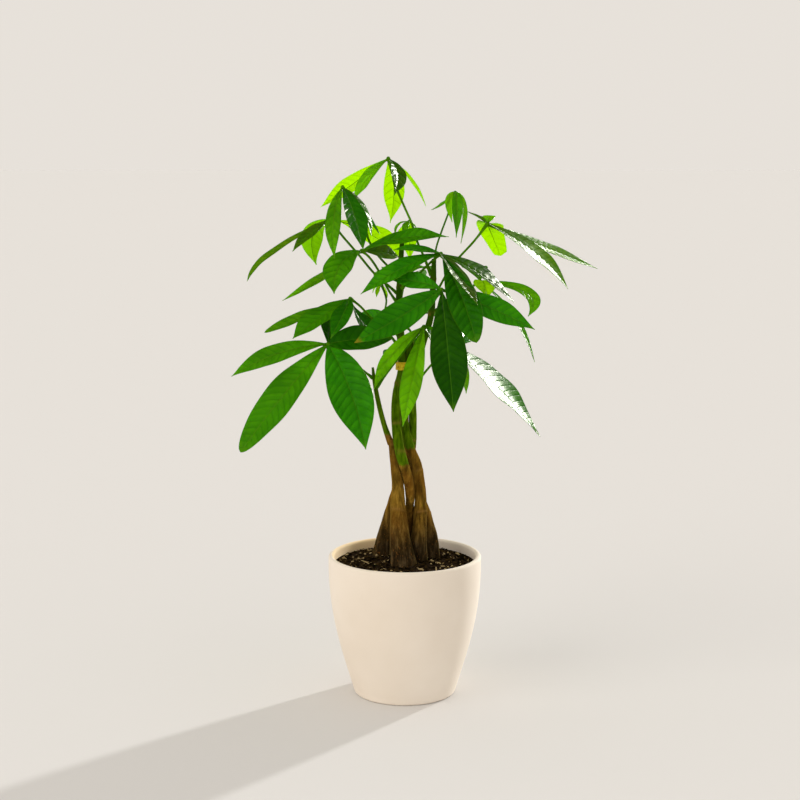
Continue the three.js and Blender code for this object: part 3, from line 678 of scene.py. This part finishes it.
# facing is the way that a leaf's or leaflet's upper side looks. Of each leaflet: its tip in
# mm, greatest width, the rise (arch) and sideways bend (sway) of its rib, the place that it
# turns through (via) where it curls, where it is widest (belly, 1 for the middle and more
# towards the tip), how drawn out its tip is (point, under 1 for blunt), how tender it is (paler
# and see-through: partly its youth, partly painted light where the low sun shines through it),
# how deep in painted shade it hangs (a darker green where other leaflets shade it), how olive
# it is, how strongly it is quilted (crisp), and how brown its tip has dried (dry).
LEAVES = {
    "leaf_low_left": dict(
        facing=(-0.2, -0.8, 0.55),
        stalk=[(-33, -14, 336.2), (-43.9, -17, 345.3), (-59.9, -24, 359.4), (-77.8, -32, 373.5)],
        leaflets=[
            dict(tip=(-173.6, -52, 343), width=22, arch=5, sway=5, tender_and_backlit=0.2),
            dict(tip=(-163, -78, 270.8), width=35, arch=2.5, sway=1.5, belly=1.15, point=0.55,
                 tender_and_backlit=0.15),
            dict(tip=(-38.8, -80, 273.9), width=43, arch=6, sway=-5.5, belly=1, point=1.1),
            dict(tip=(-12.1, -26, 378.7), width=29, arch=4, belly=0.9, point=0.8, painted_shade=0.5),
            dict(tip=(-68.9, 48, 400.2), width=30, arch=10, facing=UP, painted_shade=0.6),
        ],
    ),
    "leaf_mid_left": dict(
        facing=(0, -0.35, 1),
        stalk=[
            (-5, -2, 365), (-19, 0, 383), (-34.9, -2, 397), (-45.9, -4, 409), (-55.9, -6, 417),
        ],
        leaflets=[
            dict(tip=(-142.6, -20, 383.6), width=19, belly=1.5, point=0.55, tender_and_backlit=0.15, olive=0.3),
            dict(tip=(-112.5, -44, 380.1), width=33, arch=1.5, tender_and_backlit=0.15),
            dict(tip=(-73.8, -60, 382), width=20, arch=5, sway=-3, painted_shade=0.25, crisp=1.4),
            dict(tip=(-32.1, 20, 380.8), width=16, arch=-2, sway=3, belly=2.2,
                 facing=(0, -0.8, 0.6), painted_shade=0.3),
        ],
    ),
    "leaf_left_centre": dict(
        facing=(0, -0.5, 0.85),
        stalk=[
            (-6, 0, 409), (-17, -6, 426), (-25.9, -10, 444.1), (-35.9, -12, 459.1),
            (-43.9, -12, 466.1),
        ],
        leaflets=[
            dict(tip=(-69.8, -66, 427), width=29, arch=6, sway=8.5, tender_and_backlit=0.15),
            dict(tip=(-5.9, 10, 458), width=20, arch=2.5, facing=(0, -0.7, 0.7), olive=0.8),
            dict(tip=(44, -30, 480.9), width=24, arch=7, point=1.6, tender_and_backlit=0.1),
            dict(tip=(-125.7, 4, 413.9), width=15, arch=-1, sway=-1.5, tender_and_backlit=0.35, olive=0.35),
        ],
    ),
    "leaf_left_upper": dict(
        facing=(0, -0.25, 1),
        stalk=[
            (-5, 2, 418.9), (-19, 8, 430.8), (-31.9, 12, 441.7), (-47.9, 15, 460.6),
            (-66.8, 16, 482.6), (-76.8, 16, 496.5),
        ],
        leaflets=[
            dict(tip=(-161.6, 2, 433.9), width=16, via=(-151.1, 10, 460.9), tender_and_backlit=0.15, olive=0.8),
            dict(tip=(-112.7, -30, 466.3), width=15, arch=3, olive=0.7),
            dict(tip=(-92.7, 44, 447.9), width=23, arch=9, sway=-11, facing=(0, 0.7, 0.7),
                 tender_and_backlit=0.7),
            dict(tip=(-5, 74, 454.7), width=30, arch=10, belly=2, facing=(0.2, 0.8, 0.5), tender_and_backlit=1),
        ],
    ),
    "leaf_upper_left": dict(
        facing=UP,
        stalk=[
            (-4, 2, 429.9), (-15, 10, 445.8), (-26.9, 16, 458.6), (-35.9, 14, 472.6),
            (-41.9, 6, 490.7), (-62.8, -14, 529.9),
        ],
        leaflets=[
            dict(tip=(-69.8, -48, 460.6), width=16, arch=9, sway=3, tender_and_backlit=0.3, crisp=1.6),
            dict(tip=(-40.9, -68, 469.9), width=22, arch=6, belly=1.25, painted_shade=0.35, crisp=0.6),
            dict(tip=(-33.8, -18, 481.1), width=16, arch=4, sway=-5, facing=(0.8, -0.35, 0.48),
                 olive=0.5),
            dict(tip=(-25.6, 12, 481.7), width=12, arch=0),
        ],
    ),
    "leaf_top": dict(
        facing=UP,
        stalk=[
            (26.9, 5, 439.8), (19.9, 0, 457.9), (12.9, -4, 473.9), (7, -7, 492.9),
            (-1, -3, 510.8), (-7, 2, 524.7), (-17, 14, 558.4),
        ],
        leaflets=[
            dict(tip=(-88.9, 66, 507.3), width=19, arch=0.5, facing=(0, 0.8, 0.6), tender_and_backlit=1),
            dict(tip=(-53.8, 28, 515.3), width=17, arch=4, facing=(0, -0.6, 0.8), tender_and_backlit=0.5),
            dict(tip=(-15.5, 50, 491.1), width=22, arch=8, sway=5, point=1.5, facing=(0, 1, 0.3),
                 tender_and_backlit=1),
            dict(tip=(-10.6, -36, 522.6), width=18, arch=6, sway=-4, point=1.4,
                 facing=(0.5, -0.5, 0.7), painted_shade=0.4, olive=0.4, crisp=1.1),
            dict(tip=(21.9, 38, 509.2), width=8, arch=5, tender_and_backlit=0.9),
        ],
    ),
    "leaf_top_young": dict(
        facing=UP, young=True,
        stalk=[(-3, 1, 465.9), (-3, 3, 477.8), (0, 4, 485.8), (4, 6, 494.7)],
        leaflets=[
            dict(tip=(-10, -2, 479.9), width=6, arch=6, tender_and_backlit=0.5),
            dict(tip=(-1, -12, 481), width=7, arch=4, tender_and_backlit=0.3),
            dict(tip=(-5, 32, 455.4), width=15, arch=6, tender_and_backlit=1),
            dict(tip=(5, 34, 453.4), width=15, arch=6, tender_and_backlit=1),
            dict(tip=(11.9, 6, 484.7), width=5, arch=2, tender_and_backlit=0.4),
        ],
    ),
    "leaf_right_young": dict(
        facing=UP, young=True,
        stalk=[
            (29.9, 4, 449.8), (31.9, 2, 467.8), (36.9, 0, 483.8), (43.8, -3, 502.8),
            (50.9, -4, 524.6),
        ],
        leaflets=[
            dict(tip=(47.6, -12, 494.5), width=9, via=(41, -10, 523.8), facing=(-0.4, -0.8, 0.4),
                 tender_and_backlit=0.6),
            dict(tip=(51.5, -22, 479.7), width=11, via=(53.3, -34, 526), facing=(0.1, -0.9, 0.4),
                 tender_and_backlit=0.2, crisp=1.6),
            dict(tip=(57, 0, 472.6), width=8, via=(65.4, -6, 520.5), facing=(0.6, -0.6, 0.5),
                 tender_and_backlit=0.5),
            dict(tip=(53.1, 18, 491.6), width=10, via=(57.8, 26, 523), facing=(0, 0.8, 0.5),
                 tender_and_backlit=1),
            dict(tip=(26.8, 14, 506.1), width=8, via=(42.4, 8, 511.5), tender_and_backlit=0.4),
        ],
    ),
    "leaf_right_upper": dict(
        facing=(0.5, -0.35, 0.8),
        stalk=[
            (28.9, 2, 414.9), (36.9, 2, 430.9), (47.9, 4, 449.8), (58.8, 5, 461.8),
            (70.8, 6, 474.8), (84.7, 8, 492.7),
        ],
        leaflets=[
            dict(tip=(101.7, 62, 456.3), width=28, belly=0.8, point=0.2, via=(86.8, 60, 490.4),
                 facing=(0.15, 0.5, 0.85), tender_and_backlit=1),
            dict(tip=(173.2, 60, 421.2), width=24, via=(147, 42, 461), facing=(0.7, -0.49, 0.51),
                 tender_and_backlit=0.25, olive=0.8, crisp=0.4),
            dict(tip=(211.3, 120, 438.7), width=14, via=(150, 68, 464),
                 facing=(0.66, -0.47, 0.58), tender_and_backlit=0.25, olive=0.8, crisp=0.9),
            dict(tip=(64.2, 40, 503.7), width=10, arch=1, tender_and_backlit=0.3, painted_shade=0.4, olive=0.8),
            dict(tip=(89, 55, 499), width=14, arch=1, facing=(0, -0.3, 1), tender_and_backlit=0.9),
        ],
    ),
    "leaf_right_centre": dict(
        facing=(0, -0.5, 0.87),
        stalk=[
            (-3, -2, 427), (5, -10, 436.1), (14.9, -18, 444.2), (25.9, -26, 455.3),
            (35.9, -34, 464.4),
        ],
        leaflets=[
            dict(tip=(-10.6, -43, 468.9), width=13, arch=3),
            dict(tip=(-43.9, -62, 426.1), width=24, arch=6),
            dict(tip=(69.1, -96, 382.1), width=31, arch=6, sway=-3, belly=1.5, point=0.6,
                 facing=(-0.25, -0.7, 0.65), painted_shade=0.4, crisp=1.6),
            dict(tip=(111.5, -6, 413.2), width=27, arch=6, sway=2.5, facing=(0.48, -0.4, 0.77),
                 painted_shade=0.4, olive=0.3, crisp=1),
            dict(tip=(70, -98, 418.9), width=31, arch=0, belly=0.85, facing=(0.7, -0.5, 0.5),
                 painted_shade=0.5, olive=0.6, crisp=0.7),
        ],
    ),
    "leaf_front_centre": dict(
        facing=(0, -0.85, 0.5),
        stalk=[(27.7, 1.2, 411.5), (30.9, -20, 418.3), (34.9, -42, 425.6), (35.9, -62, 430.9)],
        leaflets=[
            dict(tip=(-13.2, -50, 439.1), width=18, arch=1.5, sway=3),
            dict(tip=(-49.4, -86, 380.8), width=31, arch=3, sway=-3, belly=1.05, point=1,
                 painted_shade=0.15, dry=0.6),
            dict(tip=(46.6, -112, 316.8), width=36, arch=6, belly=1.3, point=1.1, painted_shade=0.75),
            dict(tip=(128, -66, 391.7), width=25, via=(82.5, -53, 415)),
        ],
    ),
    "leaf_low_centre": dict(
        facing=(0, -0.8, 0.6),
        stalk=[(-29, -14, 326.2), (-15, -26, 347.4), (1, -38, 369.6), (18.9, -48, 392.7)],
        leaflets=[
            dict(tip=(-30.9, -58, 330.9), width=15, arch=5, sway=6, tender_and_backlit=0.5),
            dict(tip=(-2.4, -78, 296.8), width=21, arch=5, tender_and_backlit=0.48),
            dict(tip=(57.2, -40, 366.2), width=20, arch=3, tender_and_backlit=0.2),
            dict(tip=(28.9, -14, 363.2), width=16, arch=5),
        ],
    ),
    "leaf_low_right": dict(
        facing=(0.45, -0.58, 0.68),
        stalk=[(9.5, 2, 321.9), (16, -8, 335.1), (31.9, -18, 355.3), (47.9, -26, 368.4)],
        leaflets=[
            dict(tip=(141.4, 10, 270.9), width=48, arch=4, belly=0.95, facing=(0.74, -0.3, 0.6),
                 olive=0.25, crisp=0.3),
            dict(tip=(62, -34, 323.1), width=13, arch=5, tender_and_backlit=0.6),
            dict(tip=(71.8, 58, 378.1), width=22, arch=6),
        ],
    ),
    "leaf_right_back": dict(
        facing=UP,
        stalk=[(27.9, 4, 401.9), (44.9, 14, 410.7), (61.8, 28, 420.5), (78.8, 38, 431.3)],
        leaflets=[
            dict(tip=(84.9, -4, 417.3), width=24, arch=6, tender_and_backlit=1),
            dict(tip=(128, 22, 395.8), width=17, via=(153.3, 34, 424.4), facing=(0.55, -0.7, 0.5),
                 tender_and_backlit=0.3),
            dict(tip=(135.8, 24, 347.6), width=11, arch=9, facing=(0.74, -0.42, 0.52), tender_and_backlit=0.2),
            dict(tip=(71.8, 118, 435.1), width=28, arch=8, tender_and_backlit=0.3, painted_shade=0.3),
        ],
    ),
    "leaf_young_shoot": dict(
        facing=UP, young=True,
        stalk=[
            (-5, 0, 374), (-13, -10, 388.1), (-20, -12, 403.2), (-19, -10, 416.1), (-24, -6, 432),
        ],
        leaflets=[
            dict(tip=(-32.9, -10, 423.1), width=4, arch=2, tender_and_backlit=0.9),
            dict(tip=(-28.9, -14, 419.2), width=5, arch=2, tender_and_backlit=0.9),
            dict(tip=(-19, -4, 415), width=5, arch=2, tender_and_backlit=1),
        ],
    ),
    "leaf_back_mid": dict(
        facing=UP,
        stalk=[(6.5, 4, 365.9), (9, 15, 372.7), (4, 38, 381.4), (-5, 58, 388.1)],
        leaflets=[
            dict(tip=(-53.9, 96, 387.5), width=18, arch=4, facing=(0, -1, 0.3)),
            dict(tip=(-27, 140, 365.8), width=32, arch=10, tender_and_backlit=0.2),
            dict(tip=(4, 160, 366.4), width=34, arch=12),
            dict(tip=(44.9, 140, 377.8), width=32, arch=10, tender_and_backlit=0.1),
            dict(tip=(71.8, 112, 385.2), width=26, arch=8, tender_and_backlit=0.2),
        ],
    ),
    "leaf_back_low": dict(
        facing=UP,
        stalk=[(-3.5, 9, 325.8), (0, 24, 335.6), (5, 40, 347.4), (8, 54, 355.1)],
        leaflets=[
            dict(tip=(-20, 110, 334.2), width=26, arch=8),
            dict(tip=(-3, 140, 321.8), width=32, arch=8, tender_and_backlit=0.1),
            dict(tip=(9.9, 118, 298.8), width=22, arch=6),
            dict(tip=(18.5, 150, 355.3), width=24, arch=7, tender_and_backlit=0.15),
            dict(tip=(40.2, 118, 366.8), width=16, arch=7),
        ],
    ),
    "leaf_back_upper": dict(
        facing=UP,
        stalk=[(-6, 0, 402), (-4, 14, 413.7), (-2, 30, 424.5), (-1, 46, 434.2)],
        leaflets=[
            dict(tip=(-32.9, 96, 427.4), width=24, arch=7, tender_and_backlit=0.3),
            dict(tip=(-18, 130, 429.9), width=28, arch=8, tender_and_backlit=0.2),
            dict(tip=(16.9, 136, 420.8), width=28, arch=8, tender_and_backlit=0.25),
            dict(tip=(31.9, 100, 436.3), width=24, arch=8, tender_and_backlit=0.2),
        ],
    ),
}
BLADE_COLUMNS, NARROW_BLADE = 20, 12
BLADE_ROWS, BLADE_STEP = (16, 80), 1.9
BLADE_THICKNESS = 0.4
BLADE_FOLD = 0.22
# How high the edge's waves are as shares of the half width, how many, and how far they slant.
EDGE_WAVES = [(0.07, 7, 1), (0.03, 19, 2)]
QUILT_HEIGHT = 0.032
GROOVE_DEPTH = 0.35
VEIN_GAP = 8.5
VEIN_SLANT = 0.42
RIB_STEPS, RIB_SIDES = 26, 10
RIB_THIN, RIB_TAPER, RIB_FOOT = 0.22, 0.75, 0.7
STALK_RADIUS = 1.2
STALK_SWELLING = 0.9
STALK_STEPS = 10
HUB_RADIUS = 2
YOUNG_SHARE = 0.8


def unit(vectors):
    """Vectors of length 1 along the last axis."""
    return vectors / np.linalg.norm(vectors, axis=-1, keepdims=True)


def level(vectors, away):
    """What is left of vectors without their part along the unit vectors away."""
    return vectors - (vectors * away).sum(axis=-1, keepdims=True) * away


def rib_of(hub, leaflet, facing):
    """The upper side's direction and the three places that bend a leaflet's rib."""
    tip = np.array(leaflet["tip"], float)
    chord = unit(tip - hub)
    normal = unit(level(np.array(leaflet.get("facing", facing), float), chord))
    turn = (hub + tip) / 2 + 2 * leaflet.get("arch", 0) * normal
    turn += 2 * leaflet.get("sway", 0) * np.cross(chord, normal)
    turn = np.array(leaflet.get("via", turn), float)
    return normal, (hub, turn, tip)


def along_rib(bends, normal, t):
    """Places on a rib, its directions there and those of the upper side, at shares t of it."""
    hub, turn, tip = bends
    t = np.asarray(t)[:, None]
    places = (1 - t) ** 2 * hub + 2 * t * (1 - t) * turn + t ** 2 * tip
    along = unit((1 - t) * (turn - hub) + t * (tip - turn))
    return places, along, unit(level(np.broadcast_to(normal, along.shape), along))


def blade(hub, leaflet, facing):
    """One leaflet's thin blade, from a flat grid bent over its rib."""
    normal, bends = rib_of(hub, leaflet, facing)
    length = np.linalg.norm(bends[2] - hub)
    width = leaflet["width"]
    rows = int(np.clip(length / BLADE_STEP, *BLADE_ROWS))
    columns = BLADE_COLUMNS if width > NARROW_BLADE else BLADE_COLUMNS // 2
    deselect()
    bpy.ops.mesh.primitive_grid_add(x_subdivisions=columns, y_subdivisions=rows, size=2)
    sheet = bpy.context.object
    grid = points_of(sheet.data) * MM
    s, t = grid[:, 0], (grid[:, 1] + 1) / 2
    taper = np.sin(np.pi * np.clip(t, 0, 1) ** leaflet.get("belly", 1.2)).clip(0, 1)
    half = width / 2 * taper ** (0.8 + (leaflet.get("point", 1.2) - 0.8) * step_up(t, 0.35, 1))
    half = np.maximum(half, np.where(t < 0.5, 1.1, 0.3))
    places, along, up = along_rib(bends, normal, t)
    across = np.cross(along, up)
    phase = hub[0] + bends[2][0]
    wave = sum(
        high * half * np.sin(turns * t + slant * s + phase) for high, turns, slant in EDGE_WAVES)
    reach = s * half
    distance = np.abs(reach)

    # The cushions between the side veins flatten out towards the rib, the edge and both ends.
    vein = (t * length - VEIN_SLANT * distance - 0.5 * distance ** 2 / (width / 2)) / VEIN_GAP
    vein += np.where(s < 0, 0.45, 0) + 0.13 * np.sin(9 * t + phase)
    pillow = np.abs(np.sin(np.pi * vein)) ** 0.7
    calm = step_up(distance, 0.3, 2.6) * (1 - step_up(np.abs(s), 0.72, 1))
    calm *= step_up(t, 0.03, 0.15) * (1 - step_up(t, 0.88, 0.99))
    quilt = QUILT_HEIGHT * leaflet.get("crisp", 1) * width * calm * pillow
    groove = -GROOVE_DEPTH * np.exp(-(distance / 0.8) ** 2) * step_up(half, 1, 5)
    lift = s * s * half * BLADE_FOLD + s * wave + quilt + groove
    set_points(sheet.data, places + across * reach[:, None] + up * lift[:, None])
    put(sheet.data, "along", t)
    put(sheet.data, "side", np.abs(s))
    put(sheet.data, "reach", distance)
    put(sheet.data, "vein", vein)
    for name in ("tender_and_backlit", "painted_shade", "olive", "dry"):
        put(sheet.data, name, np.full(len(t), leaflet.get(name, 0)))
    thicken(sheet, BLADE_THICKNESS)
    return sheet


def stalk_and_ribs(name, row, hub):
    """The stalk with its swollen ends, and the raised rib under each leaflet."""
    size = YOUNG_SHARE if row.get("young") else 1
    stalk = smooth_route([(*place, 0) for place in row["stalk"]], STALK_STEPS)
    shares = np.linspace(0, 1, len(stalk))
    ends = np.exp(-(shares * 9) ** 2) + np.exp(-((1 - shares) * 12) ** 2)
    stalk[:, 3] = (STALK_RADIUS + STALK_SWELLING * ends) * size
    routes = [stalk]
    for leaflet in row["leaflets"]:
        normal, bends = rib_of(hub, leaflet, row["facing"])
        t = np.linspace(0, 0.97, RIB_STEPS)
        places, _, up = along_rib(bends, normal, t)
        thick = min(1.0, leaflet["width"] / 22) * (1 - 0.5 * leaflet.get("tender_and_backlit", 0))
        radius = RIB_THIN + RIB_TAPER * (1 - t) ** 1.3 + RIB_FOOT * np.exp(-(t * 22) ** 2)
        radius = radius * thick
        places = places - up * (0.9 * radius + 0.35)[:, None]
        routes.append(np.column_stack([places, radius]))
    return limbs(name + "_stalk", routes, RIB_SIDES)


wax, wax_out = new_material("leaf_blade")
tender_and_backlit = reads(wax, "tender_and_backlit")
tone = grain(wax, 21, 3)
mature = ramp(wax, tone, [
    (0.25, (0.016, 0.160, 0.0004)), (0.5, (0.028, 0.245, 0.0006)), (0.75, (0.056, 0.325, 0.001))])
# Leaflets that hang in the shade of others are painted a darker green: painted shade.
mature = mixed(wax, reads(wax, "painted_shade"), mature, (0.010, 0.052, 0.0004))
mature = mixed(wax, reads(wax, "olive"), mature, (0.085, 0.120, 0.002))
# Tender leaflets take this paler green: partly the colour of young leaflets, partly painted light
# where the low sun shines through them from behind.
pale = ramp(wax, tone, [(0.3, (0.19, 0.47, 0.001)), (0.7, (0.27, 0.60, 0.002))])
skin = mixed(wax, tender_and_backlit, mature, pale)

# The blade swells between its side veins, and its colour carries painted light on the near
# slope of each cushion and painted shade in the vein's crease, less regular than the veins
# themselves.
vein = reads(wax, "vein")
painted_cushion_shading = ramp(wax, sums(wax, "FRACT", vein), [
    (0.0, 0.25), (0.08, 0.4), (0.25, 0.85), (0.5, 0.6), (0.85, 0.35), (1.0, 0.25)])
uneven = ramp(wax, grain(wax, 55, 4), [(0.4, 0.35), (0.6, 1.0)])
inner = ramp(wax, reads(wax, "side"), [(0.78, 1.0), (1.0, 0.45)])
painted_cushion_shading = sums(wax, "MULTIPLY", sums(wax, "MULTIPLY", painted_cushion_shading, uneven), inner)
in_shade = mixed(wax, 1.0, skin, (0.62, 0.76, 0.6), "MULTIPLY")
in_light = mixed(wax, 1.0, skin, (1.8, 1.4, 1.4), "MULTIPLY")
skin = mixed(wax, painted_cushion_shading, in_shade, in_light)

# The veins themselves are thin dark lines, broken here and there, partly their own colour and
# partly painted shade in their sunken grooves, and the rib is a pale band.
half_turn = sums(wax, "FRACT", sums(wax, "ADD", vein, 0.5))
vein_place = sums(wax, "ABSOLUTE", sums(wax, "SUBTRACT", half_turn, 0.5))
vein_line_and_groove_shade = sums(
    wax, "MULTIPLY", ramp(wax, vein_place, [(0.0, 0.6), (0.045, 0.0)]),
    ramp(wax, grain(wax, 30, 2), [(0.4, 0.15), (0.6, 1.0)]))
vein_colour = mixed(wax, tender_and_backlit, (0.010, 0.075, 0.0005), (0.12, 0.36, 0.001))
skin = mixed(wax, vein_line_and_groove_shade, skin, vein_colour)
rib_band = ramp(wax, sums(wax, "MULTIPLY", reads(wax, "reach"), 0.5), [(0.12, 0.8), (0.30, 0.0)])
rib_colour = mixed(wax, tender_and_backlit, (0.075, 0.26, 0.006), (0.34, 0.62, 0.012))
skin = mixed(wax, rib_band, skin, rib_colour)
edge_line = ramp(wax, reads(wax, "side"), [(0.955, 0.0), (0.99, 0.5)])
skin = mixed(wax, edge_line, skin, (0.10, 0.18, 0.003))
ragged_along = sums(wax, "MULTIPLY_ADD", grain(wax, 160, 3), 0.05, reads(wax, "along"))
tip_share = ramp(wax, ragged_along, [(0.94, 0.0), (0.985, 1.0)])
skin = mixed(wax, sums(wax, "MULTIPLY", tip_share, 0.35), skin, (0.13, 0.32, 0.006))
dried = sums(wax, "MULTIPLY", tip_share, reads(wax, "dry"))
skin = mixed(wax, dried, skin, (0.46, 0.24, 0.02))
leaf_place = add_node(wax, "ShaderNodeTexCoord").outputs["Object"]
fine_veins = add_node(wax, "ShaderNodeTexVoronoi", Vector=leaf_place, Scale=620)
fine_veins.feature = "DISTANCE_TO_EDGE"
creased = bump(wax, 0.45, 0.0005, ramp(wax, vein_place, [(0.0, 0.0), (0.16, 1.0)]))
netted = sums(wax, "MINIMUM", fine_veins.outputs["Distance"], 0.12)
shiny = add_node(
    wax, "ShaderNodeBsdfPrincipled", Base_Color=skin, Roughness=0.26,
    Specular_IOR_Level=0.15, Normal=bump(wax, 0.35, 0.0004, netted, Normal=creased))
through_colour = mixed(wax, tender_and_backlit, (0.22, 0.62, 0.001), (0.64, 0.93, 0.002))
# Leaflets in painted shade let a darker green through as well.
through_colour = mixed(wax, reads(wax, "painted_shade"), through_colour, (0.05, 0.18, 0.0005))
through_colour = mixed(wax, vein_line_and_groove_shade, through_colour, (0.05, 0.25, 0.001))
through = add_node(wax, "ShaderNodeBsdfTranslucent", Color=through_colour)
thin = sums(wax, "MULTIPLY_ADD", tender_and_backlit, 0.46, 0.34)
leaf_mix = add_node(
    wax, "ShaderNodeMixShader", Fac=thin,
    _1=shiny.outputs["BSDF"], _2=through.outputs["BSDF"])
wax.node_tree.links.new(leaf_mix.outputs["Shader"], wax_out.inputs["Surface"])

stalk_skin, stalk_out = new_material("leaf_stalk")
stalk_green = ramp(stalk_skin, grain(stalk_skin, 90, 3), [
    (0.3, (0.030, 0.125, 0.001)), (0.7, (0.090, 0.260, 0.005))])
surface(stalk_skin, stalk_out, Base_Color=stalk_green, Roughness=0.6, Specular_IOR_Level=0)

for name, row in LEAVES.items():
    hub = np.array(row["stalk"][-1], float)
    blades = [blade(hub, leaflet, row["facing"]) for leaflet in row["leaflets"]]
    for sheet in blades:
        sheet.data.materials.append(wax)
    stalk = stalk_and_ribs(name, row, hub)
    deselect()
    bpy.ops.mesh.primitive_uv_sphere_add(
        segments=16, ring_count=10, location=tuple(hub * MM),
        radius=HUB_RADIUS * MM * (YOUNG_SHARE if row.get("young") else 1))
    knot = bpy.context.object
    bpy.ops.object.transform_apply(location=True, rotation=True, scale=True)
    knot.data.materials.append(stalk_skin)
    stalk.data.materials.append(stalk_skin)
    join([*blades, stalk, knot], 60)
    leaf = bpy.context.object
    leaf.name = name + "_fine"
    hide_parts(name)
    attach(leaf, "root")


# Floor and light: a plain pale studio floor that runs out of sight, soft light from all round,
# a low sun from behind on the right, and a faint wide one from the front on the left.

FLOOR_COLOUR = (0.706, 0.70, 0.690, 1)
FLOOR_SIZE = 120
ROOM_COLOUR = (0.80, 0.755, 0.70, 1)
KEY_ELEVATION = 17
KEY_AZIMUTH = 47
KEY_STRENGTH, KEY_SPREAD = 2.3, 3
GLINT_STRENGTH, GLINT_SPREAD = 9, 24
FILL_WAY = (1.6, 1.2, -0.9)
FILL_STRENGTH, FILL_SPREAD = 0.9, 45

deselect()
bpy.ops.mesh.primitive_plane_add(size=FLOOR_SIZE)
floor = bpy.context.object
floor.name = "studio_floor"
paint, paint_out = new_material("floor_paint")
surface(paint, paint_out, Base_Color=FLOOR_COLOUR, Roughness=1, Specular_IOR_Level=0)
floor.data.materials.append(paint)

room = bpy.data.worlds.new("studio")
room.use_nodes = True
room.node_tree.nodes["Background"].inputs["Color"].default_value = ROOM_COLOUR
room.node_tree.nodes["Background"].inputs["Strength"].default_value = 1
room.cycles_visibility.glossy = False
bpy.context.scene.world = room


def sun(way, strength, spread, colour):
    """A sun that shines along a way; spread is its width in degrees."""
    bpy.ops.object.light_add(type="SUN", rotation=Vector(way).to_track_quat("-Z", "Y").to_euler())
    light = bpy.context.object
    light.data.energy = strength
    light.data.angle = math.radians(spread)
    light.data.color = colour
    return light


key_way = (
    -math.cos(math.radians(KEY_AZIMUTH)), -math.sin(math.radians(KEY_AZIMUTH)),
    -math.tan(math.radians(KEY_ELEVATION)))
sun(key_way, KEY_STRENGTH, KEY_SPREAD, (1, 0.99, 0.97))

# The waxy glints: the same sun again, for shiny reflections only.
glint = sun(key_way, GLINT_STRENGTH, GLINT_SPREAD, (1, 1, 0.85))
glint.data.use_shadow = False
glint.visible_diffuse = False
glint.visible_transmission = False

fill = sun(FILL_WAY, FILL_STRENGTH, FILL_SPREAD, (1, 0.93, 0.85))
fill.visible_glossy = False

bpy.context.scene.view_settings.view_transform = "Standard"
